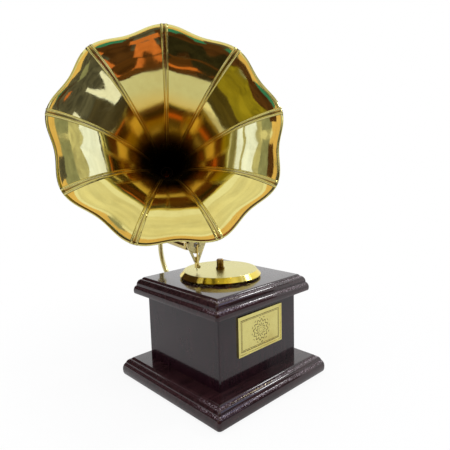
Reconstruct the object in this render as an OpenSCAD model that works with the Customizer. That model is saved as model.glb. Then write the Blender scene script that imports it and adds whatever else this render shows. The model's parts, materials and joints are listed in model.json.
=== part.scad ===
// Table-top gramophone: a moulded wooden case with a spring motor inside,
// a small turntable, a swinging tonearm with its sound box, and a nine-petal
// brass horn that swivels on a curved bracket behind the case.
// Millimetres, +Z up. The origin is the middle of the felt's rest face.
// The plaque faces -Y, the bracket is on the +Y side, the crank on the +X side.

/* [Case] */
// Side of the square plinth board
plinth_w = 153; // [148:1:190]
// Thickness of the plinth board
plinth_h = 18; // [17:0.5:26]
// Height of the plinth's lower bullnose band
plinth_band_h = 12; // [9:0.5:12.5]
// Rounding of the two boards' upright corners
board_corner_r = 2; // [1:0.1:3]
// Outside width of the box between the two boards
body_w = 107; // [106:0.5:116]
// Height of the box between the two boards
body_h = 70; // [69:0.5:90]
// Thickness of the four box walls
board_t = 10; // [7:0.5:10.5]
// Rounding of the box's upright corners
corner_r = 1.2; // [0.5:0.1:4]
// Side of the square lid board
lid_w = 130; // [122:1:145]
// Thickness of the lid board
lid_h = 17; // [16:0.5:24]
// Height of the lid's lower bullnose band
lid_band_h = 8.5; // [6:0.5:9]
// Opening through the plinth under the motor
well_w = 84; // [70:1:86]
// Side of the screwed panel that closes the opening
panel_w = 96; // [94:1:104]
// Thickness of that panel
panel_t = 3; // [2:0.5:5]
// Thickness of the felt under the plinth
felt_t = 1; // [0.5:0.25:3]
// How far the felt stays inside the plinth's edge
felt_inset = 5; // [3:0.5:10]
// Margin between the felt and the screwed panel
felt_margin = 2; // [0.5:0.5:4]
// Width of the plaque
plaque_w = 61; // [40:1:80]
// Height of the plaque
plaque_h = 38; // [25:1:50]
// Thickness of the plaque with its raised border
plaque_t = 1.5; // [1:0.1:3]
// Height of the plaque's middle above the foot of the box
plaque_z = 43.6; // [28:0.2:46]

/* [Turntable] */
// Outside diameter of the turntable
disc_d = 83; // [70:1:100]
// Thickness of the turntable
disc_t = 6.2; // [4:0.2:10]
// Width of the bevel round its rim
disc_bevel = 4.2; // [1:0.2:6]
// Air gap between the lid and the turntable
disc_gap = 1; // [0.9:0.1:4]
// Diameter of the pin that centres a record
pin_d = 7.2; // [5:0.1:8]
// Height of that pin above the turntable
pin_h = 10.3; // [6:0.1:16]
// Diameter of the collar that holds the turntable down
collar_d = 9; // [8.6:0.1:16]
// Height of that collar
collar_h = 2; // [1:0.1:4]

/* [Bracket] */
// Outside diameter of the bracket tube
tube_d = 5.4; // [4:0.1:6]
// Bore of the bracket tube
tube_bore = 3.4; // [2:0.1:3.6]
// Bend radius of the bracket's big arc
bend_r = 48; // [40:1:60]
// How far below the lid the wall flange sits
flange_drop = 13; // [12:0.5:30]
// Diameter of the wall flange
flange_d = 22; // [18:0.5:26]
// Thickness of the wall flange
flange_t = 2; // [1.5:0.1:4]
// How far the upper S-bend comes forward
sbend_fwd = 17.5; // [12:0.5:20]
// How far the upper S-bend climbs
sbend_rise = 26; // [24:0.5:40]
// Outside diameter of the turned socket that holds the horn
socket_d = 17; // [16:0.5:24]
// Height of that socket
socket_h = 14.4; // [13:0.2:24]

/* [Horn] */
// Diameter of the mouth across the ribs
mouth_d = 202.5; // [150:0.5:240]
// Length of the petals along the horn's axis
bell_len = 116.8; // [90:0.1:160]
// Thickness of the petals' sheet
sheet_t = 1; // [0.6:0.1:1.6]
// Depth of the scallop in the middle of each petal's rim
scallop = 0.065; // [0:0.005:0.12]
// Upward tilt of the horn's axis
horn_tilt = 19.25; // [10:0.25:40]
// Turn of the horn about its socket, seen from above
horn_turn = -33.5; // [-60:0.1:60]
// Outside diameter of the elbow
elbow_d = 13; // [11:0.1:13.4]
// Bore of the elbow
elbow_bore = 11; // [8:0.1:11.4]
// Bend radius of the elbow
elbow_r = 26; // [18:0.5:40]
// Width of each seam strip at the rim
seam_w = 7; // [4:0.1:10]
// Height of the two beads along each seam strip
bead_h = 1; // [0.5:0.05:1.5]

/* [Tonearm] */
// Distance from the arm's pivot to the needle
arm_len = 101.3; // [96:0.1:104]
// Turn of the arm about its pivot, seen from above
arm_turn = -14.6; // [-26:0.1:-8]
// Outside diameter of the arm tube
arm_d = 8; // [6:0.1:8]
// Bore of the arm tube
arm_bore = 6; // [3:0.1:6]
// How far the gooseneck at the arm's end climbs
neck_rise = 5; // [4:0.1:7]
// Height of the sound box's middle above the needle's tip
box_rise = 27.5; // [26:0.1:32]
// Diameter of the sound box
box_d = 17; // [15:0.5:22]
// Thickness of the sound box
box_t = 7; // [6:0.1:10]
// Diameter of the needle
needle_d = 1.4; // [0.8:0.1:1.8]
// Gap left between the needle's tip and the turntable
needle_gap = 0.3; // [0.3:0.05:3]

/* [Crank] */
// Distance from the winding shaft to the knob's pin
crank_len = 30; // [18:0.5:32]
// Diameter of the winding shaft
crank_shaft_d = 5; // [4:0.1:5.4]
// Length of the wooden knob
knob_len = 20; // [12:0.5:28]
// Largest diameter of the wooden knob
knob_d = 13; // [9:0.5:16]

/* [Motor] */
// Side of the two square motor plates
motor_w = 84; // [83:0.5:85.5]
// Thickness of the motor plates
motor_plate_t = 2; // [1.5:0.1:2.5]
// Clear height between the motor plates
motor_h = 42; // [42:0.1:43]
// Gap between the lid and the upper motor plate
hanger_h = 7; // [6:0.5:8]
// Diameter of the turntable spindle
spindle_d = 4; // [3:0.1:4.4]
// Diameter of the mainspring barrel
barrel_d = 38; // [34:0.5:38]
// Thickness of the mainspring's strip
spring_strip_t = 0.5; // [0.3:0.05:0.8]

/* [Hidden] */
$fn = 96;
// Colours
wood = [0.23, 0.17, 0.18];
brass = [0.85, 0.72, 0.38];
steel = [0.62, 0.63, 0.65];
dark_steel = [0.35, 0.35, 0.37];
felt = [0.16, 0.22, 0.15];
// Radial room of every running fit
running = 0.05;
// Radial room between pieces that must never touch
free_gap = 0.4;

// Heights of the case, from the table up
plinth_z = felt_t;
body_z = plinth_z + plinth_h;
lid_z = body_z + body_h;
lid_top = lid_z + lid_h;
disc_z = lid_top + disc_gap;
disc_top = disc_z + disc_t;
body_r = body_w / 2;

// Edge mouldings of the two boards
plinth_edge_r = 1.8;
plinth_band_r = 4;
plinth_quirk = 3.5;
plinth_ovolo_r = 3.5;
plinth_top_in = 10.2;
lid_edge_r = 1.8;
lid_band_r = 2.4;
lid_quirk = 2.5;
lid_ovolo_r = 4.2;
lid_top_in = 8.5;
top_slope = 1.1;

// Countersunk wood screws
screw_d = 2.2;
screw_head_d = 4.4;
screw_head_h = 1.2;
screw_len = 9;
screw_slot_w = 0.6;
screw_slot_h = 0.5;
panel_screw_in = 3;

// Bracket
stub_len = 3;
rod_y = body_r + stub_len + bend_r;
flange_z = lid_z - flange_drop;
arc_top = flange_z + bend_r;
needle_z = disc_top + needle_gap;
box_z = needle_z + box_rise;
arm_z = box_z - neck_rise;
arm_collar_h = 12;
arm_collar_d = 10;
arm_collar_z = arm_z - arm_collar_h / 2;
rest_ring_h = 2;
rest_ring_d = 9;
sbend_z = arm_collar_z + arm_collar_h + 1;
sbend_angle = 2 * atan(sbend_fwd / sbend_rise);
sbend_r = sbend_rise / (2 * sin(sbend_angle));
sound_hole_d = 3;
gallery_d = 7.4;
gallery_h = 4;
flange_screw_pcd = 15;
flange_screw_count = 3;
flange_hub_d = 9;

// Horn
horn_y = rod_y - sbend_fwd;
socket_z = sbend_z + sbend_rise;
socket_grip = 4.6;
tail_gap = 0.4;
elbow_z = socket_z + socket_h + 0.2;
elbow_angle = 90 - horn_tilt;
elbow_tangent = elbow_r * tan(elbow_angle / 2);
horn_node_z = elbow_z + elbow_tangent;
neck_len = 4;
spigot_len = 8;
spigot_bore = elbow_bore - 0.4;
elbow_bead_d = elbow_d + 1.2;
elbow_bead_h = 1.2;
elbow_bead_over = 0.4;
bell_z = elbow_tangent + neck_len;
petals = 9;
petal_angle = 360 / petals;
first_rib = 90;
throat_r = elbow_d / 2 + 0.1;
mouth_r = mouth_d / 2 - sheet_t;
flare_p = 0.7;
flare_q = 0.64;
petal_rings = 18;
petal_cols = 8;
seam_rings = 16;
seam_start = 0.03;
seam_lift = 0.1;
seam_flat = 0.35;
seam_throat_w = 2.4;
ferrule_d = 19;
ferrule_h = 8.6;
ferrule_grip = neck_len - elbow_bead_over - 0.2;
ferrule_room = 0.75;
clamp_d = 3;
clamp_z = 9.4;
clamp_head_d = 7;
clamp_head_h = 3;

// Tonearm and sound box
neck_r = 10;
neck_angle = acos(1 - neck_rise / (2 * neck_r));
neck_run = 2 * neck_r * sin(neck_angle);
fork_t = 2.4;
needle_off = box_t - fork_t / 2;
box_back = arm_len - needle_off;
neck_sleeve = 5.4;
neck_sleeve_wall = 1.7;
neck_straight = neck_sleeve + 0.8;
arm_straight = box_back - neck_sleeve - neck_run;
box_floor = 1.4;
box_rim = 1.3;
diaphragm_t = 0.4;
diaphragm_in = fork_t + 0.3;
boss_h = 0.6;
fork_window_d = 6.4;
fork_w = 21;
fork_ear = 1.5;
fork_leg = 2.2;
fork_web = 5.4;
fork_tip_w = 4.6;
chuck_d = 4.4;
chuck_h = 5.6;
chuck_z = 4.6;
bar_t = 1.2;
bar_w = 1.6;
bar_gap = 0.6;
needle_grip = 3.2;
grub_d = 1.6;
grub_head_d = 3.4;
grub_head_h = 2.2;
grub_up = 1.6;
grub_shown = 0.8;

// Crank
crank_y = 18;
crank_shaft_z = 8;
crank_clear = 3;
crank_x = plinth_w / 2 + crank_clear;
crank_arm_t = 3;
crank_eye_d = 11;
crank_tip_d = 7;
crank_bushing_d = 10;
crank_bushing_flange_d = 16;
crank_bushing_flange_t = 1.5;
crank_rest = -12;
knob_pin_d = 3;
knob_pin_head_d = 5;
knob_pin_head_h = 1.5;
knob_gap = 0.4;

// Motor levels, above the inside face of the lower plate
plate_z = lid_z - hanger_h - motor_plate_t;
floor_z = plate_z - motor_h;
pillar_d = 6;
pillar_in = 4;
rivet_h = 1;
pillar_r = motor_w / 2 - pillar_in;
stud_d = 3.4;
stud_len = 9;
hanger_d = 8;
foot_h = 5;
foot_d = 10;
foot_floor = 1;
motor_shaft_gap = 0.3;
bushing_d = 9;
bushing_flange_d = 13;
bushing_flange_t = 1;

// Gears: module and number of teeth
addendum = 0.85;
dedendum = 1.1;
pressure_angle = 25;
backlash = 0.14;
fast_m = 0.5;
spindle_teeth = 60;
governor_teeth = 10;
slow_m = 0.6;
drive_teeth = 12;
middle_teeth = 48;
barrel_m = 0.7;
barrel_teeth = 60;
middle_pinion_teeth = 10;
wheel_t = 2;
pinion_t = 4;
pinion_over = 0.4;
winding_teeth = 24;
crank_teeth = 10;
winding_r = 9.5;
winding_m = 2 * winding_r / winding_teeth;
winding_face = 2;
winding_lip = 0.5;
mesh_room = 0.05;

// Where each upright arbor stands
middle_dir = 200.5;
middle_dist = slow_m * (drive_teeth + middle_teeth) / 2 + mesh_room;
middle_pos = middle_dist * [cos(middle_dir), sin(middle_dir)];
barrel_dir = 97.4;
barrel_dist = barrel_m * (barrel_teeth + middle_pinion_teeth) / 2 + mesh_room;
barrel_pos = middle_pos + barrel_dist * [cos(barrel_dir), sin(barrel_dir)];
governor_dir = -45;
governor_dist = fast_m * (spindle_teeth + governor_teeth) / 2 + mesh_room;
governor_pos = governor_dist * [cos(governor_dir), sin(governor_dir)];
crank_pinion_x = barrel_pos[0] + winding_r;

// Heights along the arbors
drive_z = 3;
spindle_wheel_z = 14;
middle_wheel_z = 4;
barrel_z = 20;
barrel_h = 17;
barrel_wall = 1.2;
barrel_gear_t = 3;
barrel_gear_z = barrel_z + barrel_h - barrel_gear_t;
barrel_cover_t = 1.2;
arbor_d = 5;
pivot_d = 3;
middle_arbor_d = 4;
winding_pitch_z = crank_shaft_z + winding_m * crank_teeth / 2;
winding_web_t = 2;
winding_hub_d = 9;
spring_core_d = 9;
spring_turns = 5;
spring_first_r = 5.4;
spring_room = 0.6;
spring_hook = 0.1;
core_room = 0.4;
governor_arbor_d = 2.4;
governor_pivot_d = 1.4;
governor_pinion_z = 13;
governor_disc_z = 21.5;
governor_disc_d = 18;
governor_disc_t = 1.4;
governor_collar_z = 37;
governor_collar_d = 8;
governor_hub_h = 2.6;
governor_spring_count = 3;
governor_spring_t = 0.35;
governor_spring_w = 3;
governor_spring_out = 4.4;
governor_weight_d = 4.4;
governor_weight_t = 3;
governor_foot = 0.5;
brake_post_d = 5;
brake_pivot_r = 15;
brake_dir = -90;
brake_arm_w = 3.2;
brake_t = 1.6;
brake_rest = 0.2;
clutch_coils = 5;
clutch_wire_d = 1.2;
clutch_pitch = 1.5;
bearing_x = 5.2;
bearing_t = 3;
bearing_w = 10;
bearing_top = 4.2;

// Part names

// Shared shapes

// Half of a board's edge outline, mirrored to the whole section
module board_section(w, h, edge_r, band_h, band_r, quirk, ovolo_r, top_in) {
    half = w / 2;
    round_z = h - top_slope - ovolo_r;
    for (side = [0, 1]) {
        mirror([side, 0]) {
            square([half - band_r, band_h]);
            translate([0, edge_r]) square([half, band_h - edge_r - band_r]);
            translate([half - edge_r, edge_r]) circle(r = edge_r);
            translate([half - band_r, band_h - band_r]) circle(r = band_r);
            square([half - quirk, round_z]);
            translate([half - quirk - ovolo_r, round_z]) circle(r = ovolo_r);
            polygon([
                [0, 0],
                [half - quirk - ovolo_r, 0],
                [half - quirk - ovolo_r, h - top_slope],
                [half - top_in, h],
                [0, h]
            ]);
        }
    }
}

// Square with rounded corners
module round_square(w, r) {
    square([w - 2 * r, w], center = true);
    square([w, w - 2 * r], center = true);
    for (x = [-1, 1], y = [-1, 1]) translate((w / 2 - r) * [x, y]) circle(r = r);
}

// A square board with the same moulding on its four edges
module moulded_board(w, h, edge_r, band_h, band_r, quirk, ovolo_r, top_in) {
    intersection() {
        translate([0, 0, -1]) linear_extrude(height = h + 2) round_square(w, board_corner_r);
        rotate([90, 0, 0]) linear_extrude(height = w + 2, center = true)
            board_section(w, h, edge_r, band_h, band_r, quirk, ovolo_r, top_in);
        rotate([90, 0, 90]) linear_extrude(height = w + 2, center = true)
            board_section(w, h, edge_r, band_h, band_r, quirk, ovolo_r, top_in);
    }
}

module slab(w, h) {
    linear_extrude(height = h) square([w, w], center = true);
}

module ring(r_out, r_in, h) {
    linear_extrude(height = h) difference() {
        circle(r = r_out);
        circle(r = r_in);
    }
}

// Copies to the four corners of a square
module four(r) {
    for (x = [-r, r], y = [-r, r]) translate([x, y, 0]) children();
}

// Countersunk slotted wood screw, head face at z = 0, pointing down
module wood_screw() {
    difference() {
        rotate_extrude() polygon([
            [0, 0], [screw_head_d / 2, 0], [screw_d / 2, -screw_head_h],
            [screw_d / 2, -screw_len + screw_d], [0, -screw_len]
        ]);
        translate([-screw_head_d / 2, -screw_slot_w / 2, -screw_slot_h])
            cube([screw_head_d, screw_slot_w, screw_slot_h + 1]);
    }
}

// The hole that the same screw fills
module screw_hole() {
    rotate_extrude() polygon([
        [0, 0], [screw_head_d / 2, 0], [screw_d / 2, -screw_head_h],
        [screw_d / 2, -screw_len + screw_d], [0, -screw_len]
    ]);
}

// Round bar or tube along a bend: starts at the origin along +Z, bends to -Y
module bent_tube(r, angle, od, id) {
    rotate([90, 0, 90]) translate([-r, 0, 0]) rotate_extrude(angle = angle)
        translate([r, 0]) difference() {
            circle(d = od);
            circle(d = id);
        }
}

// Frames that the tilted and turned groups are drawn in
module at_floor() { translate([0, 0, floor_z]) children(); }
module at_barrel() { translate([barrel_pos[0], barrel_pos[1], floor_z]) children(); }
module at_middle() { translate([middle_pos[0], middle_pos[1], floor_z]) children(); }
module at_governor() { translate([governor_pos[0], governor_pos[1], floor_z]) children(); }
module at_tonearm() { translate([0, rod_y, 0]) rotate([0, 0, arm_turn]) children(); }
module at_sound_box() { at_tonearm() translate([0, -box_back, box_z]) rotate([90, 0, 0]) children(); }
module at_horn() { translate([0, horn_y, 0]) rotate([0, 0, horn_turn]) children(); }
module at_bell() { at_horn() translate([0, 0, horn_node_z]) rotate([elbow_angle, 0, 0]) children(); }
// The winding shaft lies along +X here, its axis the +Z of this frame
module at_crank() { translate([0, crank_y, floor_z + crank_shaft_z]) rotate([0, 90, 0]) children(); }

// Gears

// Involute angle at radius r on base circle rb, in degrees
function involute(rb, r) =
    r <= rb ? 0 : sqrt(pow(r / rb, 2) - 1) * 180 / PI - acos(rb / r);
function polar(r, a) = [r * cos(a), r * sin(a)];
function flank(teeth, m, r) =
    90 / teeth * (1 - backlash)
    + involute(m * teeth / 2 * cos(pressure_angle), m * teeth / 2)
    - involute(m * teeth / 2 * cos(pressure_angle), r);
function gear_outline(teeth, m, turn) =
    let (pitch = m * teeth / 2,
         radii = [pitch - dedendum * m, pitch - 0.4 * m, pitch,
                  pitch + 0.45 * m, pitch + addendum * m])
    [for (t = [0 : teeth - 1], side = [0, 1], k = [0 : 4])
        let (r = side == 0 ? radii[k] : radii[4 - k],
             off = flank(teeth, m, r))
        polar(r, turn + t * 360 / teeth + (side == 0 ? -off : off))];
// Turn that meshes a second gear with a first one that is turned by turn_a
function mesh_turn(dir, turn_a, teeth_a, teeth_b) =
    dir + 180 + 180 / teeth_b - (turn_a - dir) * teeth_a / teeth_b;

module gear(teeth, m, turn, bore) {
    difference() {
        polygon(gear_outline(teeth, m, turn));
        circle(d = bore);
    }
}

// The horn's sheet

function smooth(a, b, x) =
    let (t = min(max((x - a) / (b - a), 0), 1)) t * t * (3 - 2 * t);
function flare_r(x) = throat_r + (mouth_r - throat_r) * x;
function flare_s(x) = bell_len * pow(max(1 - pow(max(x, 0), flare_p), 0), 1 / flare_q);
// Angle from the middle of the petal that holds bell angle a
function petal_phi(a) =
    let (k = (a - first_rib) / petal_angle) petal_angle * (k - floor(k) - 0.5);
// Petals are round at the throat, flat further out and scalloped at the rim
function petal_factor(x, a) =
    let (phi = petal_phi(a),
         flat = cos(petal_angle / 2) / cos(phi),
         rim = 1 - scallop * (1 + cos(petals * phi)) / 2,
         to_rim = smooth(0.6, 0.95, x),
         to_flat = smooth(0.05, 0.25, x))
    1 - to_flat * (1 - (flat * (1 - to_rim) + rim * to_rim));
function sheet_r(x, a) = flare_r(x) * petal_factor(x, a);
// Point of the sheet at flare position x and bell angle a, lifted outward by h
function sheet_point(x, a, h) =
    let (x1 = max(x - 0.002, 0),
         x2 = min(x + 0.002, 1),
         dr = sheet_r(x2, a) - sheet_r(x1, a),
         dz = flare_s(x1) - flare_s(x2),
         l = sqrt(dr * dr + dz * dz),
         r = sheet_r(x, a) + h * dz / l)
    [r * cos(a), r * sin(a), bell_z + bell_len - flare_s(x) - h * dr / l];
function ring_x(j, n) = pow(j / n, 1.5);
// Two triangles of the quad a b c d
function quad(a, b, c, d) = [[a, b, c], [a, c, d]];

// One petal, between ribs k and k + 1
module petal(k) {
    n = petal_rings;
    m = petal_cols;
    base = (n + 1) * (m + 1);
    points = [for (h = [0, sheet_t], j = [0 : n], i = [0 : m])
        sheet_point(ring_x(j, n), first_rib + petal_angle * (k + i / m), h)];
    faces = [
        for (j = [0 : n - 1], i = [0 : m - 1])
            let (p = j * (m + 1) + i, q = p + m + 1, s = base + p, t = base + q)
            each concat(quad(s, t, t + 1, s + 1), quad(p, p + 1, q + 1, q)),
        for (j = [0 : n - 1])
            let (p = j * (m + 1), q = p + m + 1, e = p + m, f = q + m)
            each concat(quad(p, q, base + q, base + p),
                        quad(e, base + e, base + f, f)),
        for (i = [0 : m - 1])
            let (q = n * (m + 1) + i)
            each concat(quad(i + 1, i, base + i, base + i + 1),
                        quad(q, q + 1, base + q + 1, base + q))
    ];
    color(brass) at_bell() polyhedron(points, faces, convexity = 6);
}

// Seam strip along rib k: two beads with a flat between them. side is 1 for
// the strip on the outside of the petals and -1 for the one inside the bell
module seam(k, side) {
    n = seam_rings;
    section = [[-1, 0], [-0.7, bead_h], [-0.35, seam_flat], [0.35, seam_flat],
               [0.7, bead_h], [1, 0], [0, 0]];
    m = len(section);
    skin = side > 0 ? sheet_t : 0;
    points = [for (j = [0 : n], p = section)
        let (x = seam_start + (1 - seam_start) * ring_x(j, n),
             w = seam_throat_w + (seam_w - seam_throat_w) * x)
        sheet_point(x, first_rib + petal_angle * k
            + side * p[0] * w / 2 / flare_r(x) * 180 / PI, skin + side * (seam_lift + p[1]))];
    faces = [
        for (j = [0 : n - 1], i = [0 : m - 1])
            let (p = j * m + i, e = j * m + (i + 1) % m)
            each quad(p, p + m, e + m, e),
        for (i = [1 : m - 2]) [0, i, i + 1],
        for (i = [1 : m - 2]) [n * m, n * m + i + 1, n * m + i]
    ];
    at_bell() polyhedron(points, faces, convexity = 6);
}

// Case

module felt_sheet() {
    color(felt) difference() {
        slab(plinth_w - 2 * felt_inset, felt_t);
        translate([0, 0, -1]) slab(panel_w + 2 * felt_margin, felt_t + 2);
    }
}

module plinth() {
    color(wood) translate([0, 0, plinth_z]) difference() {
        moulded_board(plinth_w, plinth_h, plinth_edge_r, plinth_band_h,
                      plinth_band_r, plinth_quirk, plinth_ovolo_r, plinth_top_in);
        translate([0, 0, -1]) slab(well_w, plinth_h + 2);
        translate([0, 0, -1]) slab(panel_w, panel_t + 1);
        four(panel_w / 2 - panel_screw_in) mirror([0, 0, 1]) screw_hole();
    }
}

module bottom_panel() {
    color(wood) translate([0, 0, plinth_z]) difference() {
        slab(panel_w - free_gap, panel_t);
        four(panel_w / 2 - panel_screw_in) mirror([0, 0, 1]) screw_hole();
    }
}

// Four hold the bottom panel, three the wall flange
module wood_screws() {
    color(brass) {
        translate([0, 0, plinth_z])
            four(panel_w / 2 - panel_screw_in) mirror([0, 0, 1]) wood_screw();
        at_flange_screws() wood_screw();
    }
}

// One mitred wall of the box, on the side that the turn brings to -Y
module body_board(turn) {
    color(wood) translate([0, 0, body_z]) linear_extrude(height = body_h)
        rotate(turn) intersection() {
            polygon([
                [-body_r, -body_r], [body_r, -body_r],
                [body_r - board_t, board_t - body_r],
                [board_t - body_r, board_t - body_r]
            ]);
            round_square(body_w, corner_r);
        }
}

module body_front() { body_board(0); }
module body_left() { body_board(-90); }

module body_back() {
    difference() {
        body_board(180);
        at_flange_screws() screw_hole();
    }
}

module body_right() {
    difference() {
        body_board(90);
        at_crank() cylinder(d = crank_bushing_d, h = plinth_w);
    }
}

module lid() {
    color(wood) difference() {
        translate([0, 0, lid_z])
            moulded_board(lid_w, lid_h, lid_edge_r, lid_band_h, lid_band_r,
                          lid_quirk, lid_ovolo_r, lid_top_in);
        translate([0, 0, lid_z - 1]) cylinder(d = bushing_d, h = lid_h + 2);
        translate([0, 0, lid_z - 1]) four(pillar_r) cylinder(d = stud_d, h = stud_len + 1);
    }
}

module plaque() {
    border = 1.6;
    lift = 0.4;
    color(brass) translate([0, -body_r, body_z + plaque_z]) rotate([90, 0, 0])
        difference() {
            linear_extrude(height = plaque_t)
                square([plaque_w, plaque_h], center = true);
            translate([0, 0, plaque_t - lift]) linear_extrude(height = lift + 1)
                square([plaque_w - 2 * border, plaque_h - 2 * border], center = true);
        }
}

// Bracket and socket

module at_flange() { translate([0, body_r, flange_z]) rotate([-90, 0, 0]) children(); }

module at_flange_screws() {
    at_flange() for (i = [0 : flange_screw_count - 1])
        rotate([0, 0, 90 + i * 360 / flange_screw_count])
            translate([flange_screw_pcd / 2, 0, flange_t]) children();
}

module bracket_flange() {
    rim = 0.6;
    hub_h = 1.6;
    color(brass) difference() {
        at_flange() rotate_extrude() difference() {
            union() {
                square([flange_d / 2 - rim, flange_t]);
                square([flange_d / 2, flange_t - rim]);
                translate([flange_d / 2 - rim, flange_t - rim]) circle(r = rim);
                square([flange_hub_d / 2, flange_t + hub_h]);
            }
            translate([0, -1]) square([tube_d / 2, flange_t + 4]);
        }
        at_flange_screws() screw_hole();
    }
}

module bracket_tube() {
    plug_top = arm_z - gallery_h / 2;
    color(brass) {
        at_flange() ring(tube_d / 2, tube_bore / 2, stub_len);
        translate([0, rod_y, arc_top]) mirror([0, 0, 1])
            bent_tube(bend_r, 90, tube_d, tube_bore);
        difference() {
            translate([0, rod_y, arc_top]) union() {
                cylinder(d = tube_d, h = sbend_z - arc_top);
                translate([0, 0, arm_collar_z - rest_ring_h - arc_top])
                    cylinder(d = rest_ring_d, h = rest_ring_h);
            }
            translate([0, rod_y, plug_top])
                cylinder(d = tube_bore, h = sbend_z - plug_top + 1);
            translate([0, rod_y, arm_z]) rotate([90, 0, 0])
                cylinder(d = sound_hole_d, h = tube_d);
        }
        translate([0, rod_y, sbend_z]) bent_tube(sbend_r, sbend_angle, tube_d, tube_bore);
        translate([0, horn_y, socket_z]) mirror([0, 0, 1]) mirror([0, 1, 0])
            bent_tube(sbend_r, sbend_angle, tube_d, tube_bore);
        translate([0, horn_y, socket_z]) ring(tube_d / 2, tube_bore / 2, socket_grip);
    }
}

module horn_socket() {
    neck = 3;
    foot = 1.6;
    swell = 0.8;
    bead = 1.2;
    color(brass) translate([0, horn_y, socket_z]) difference() {
        rotate_extrude() difference() {
            union() {
                polygon([
                    [0, 0], [tube_d / 2 + foot, 0], [tube_d / 2 + foot + swell, neck],
                    [socket_d / 2 - bead, socket_grip], [socket_d / 2 - bead, socket_h],
                    [0, socket_h]
                ]);
                translate([socket_d / 2 - bead, socket_grip + bead]) circle(r = bead);
                translate([socket_d / 2 - bead, socket_h - bead]) circle(r = bead);
            }
            translate([0, -1]) square([tube_d / 2, socket_grip + 2]);
            translate([0, socket_grip]) square([elbow_d / 2 + running, socket_h]);
        }
        translate([0, 0, clamp_z]) rotate([-90, 0, 0]) cylinder(d = clamp_d, h = socket_d);
    }
}

module horn_clamp_screw() {
    knurls = 18;
    knurl_w = 0.5;
    shown = 2.4;
    tip = elbow_d / 2 + running;
    color(brass) translate([0, horn_y, socket_z + clamp_z]) rotate([-90, 0, 0]) {
        translate([0, 0, tip]) cylinder(d = clamp_d, h = socket_d / 2 + shown - tip);
        translate([0, 0, socket_d / 2 + shown]) difference() {
            cylinder(d = clamp_head_d, h = clamp_head_h);
            for (i = [0 : knurls - 1]) rotate(i * 360 / knurls)
                translate([clamp_head_d / 2, 0, -1]) rotate(45)
                    cube([knurl_w, knurl_w, clamp_head_h + 2]);
        }
    }
}

// Motor frame

module motor_plate_outline() {
    difference() {
        square([motor_w, motor_w], center = true);
        for (x = [-1, 1], y = [-1, 1]) translate(pillar_r * [x, y]) circle(d = stud_d);
    }
}

module motor_top_plate() {
    color(brass) translate([0, 0, plate_z]) linear_extrude(height = motor_plate_t)
        difference() {
            motor_plate_outline();
            circle(d = bushing_d);
            translate(barrel_pos) circle(d = pivot_d + 2 * running);
            translate(middle_pos) circle(d = pivot_d + 2 * running);
            translate(governor_pos) circle(d = governor_pivot_d + 2 * running);
        }
}

module motor_bottom_plate() {
    color(brass) difference() {
        union() {
            at_floor() translate([0, 0, -motor_plate_t]) linear_extrude(height = motor_plate_t)
                difference() {
                    motor_plate_outline();
                    translate(barrel_pos) circle(d = pivot_d + 2 * running);
                    translate(middle_pos) circle(d = pivot_d + 2 * running);
                    translate(governor_pos) circle(d = governor_pivot_d + 2 * running);
                }
            at_floor() translate([0, 0, -foot_h]) cylinder(d = foot_d, h = foot_h);
            translate([crank_pinion_x + bearing_x, crank_y - bearing_w / 2, floor_z])
                cube([bearing_t, bearing_w, crank_shaft_z + bearing_top]);
            at_governor() translate(polar(brake_pivot_r, brake_dir))
                cylinder(d = brake_post_d, h = governor_disc_z - brake_rest);
            at_governor() translate(polar(brake_pivot_r, brake_dir))
                cylinder(d = pivot_d, h = governor_disc_z + brake_t);
        }
        at_floor() translate([0, 0, foot_floor - foot_h])
            cylinder(r = spindle_d / 2 + running, h = foot_h);
        at_crank() cylinder(r = crank_shaft_d / 2 + running, h = plinth_w, center = true);
    }
}

module motor_pillars() {
    color(steel) at_floor() four(pillar_r) {
        translate([0, 0, -motor_plate_t]) cylinder(d = stud_d, h = motor_plate_t);
        difference() {
            cylinder(d = pillar_d, h = motor_h);
            translate([0, 0, motor_h - stud_len]) cylinder(d = stud_d, h = stud_len + 1);
        }
        translate([0, 0, -motor_plate_t - rivet_h]) cylinder(d = pillar_d, h = rivet_h);
    }
}

module motor_studs() {
    color(steel) translate([0, 0, plate_z - stud_len]) four(pillar_r) {
        cylinder(d = stud_d, h = 2 * stud_len + motor_plate_t + hanger_h);
        translate([0, 0, stud_len + motor_plate_t]) cylinder(d = hanger_d, h = hanger_h);
    }
}

module spindle_bushing() {
    color(brass) translate([0, 0, plate_z]) difference() {
        union() {
            cylinder(d = bushing_d, h = lid_top - plate_z);
            translate([0, 0, motor_plate_t]) cylinder(d = bushing_flange_d, h = bushing_flange_t);
        }
        translate([0, 0, -1]) cylinder(r = spindle_d / 2 + running, h = lid_top - plate_z + 2);
    }
}

module crank_bushing() {
    color(brass) at_crank() difference() {
        translate([0, 0, body_r - board_t]) union() {
            cylinder(d = crank_bushing_d, h = board_t);
            translate([0, 0, board_t]) cylinder(d = crank_bushing_flange_d, h = crank_bushing_flange_t);
        }
        cylinder(r = crank_shaft_d / 2 + running, h = plinth_w);
    }
}

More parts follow.
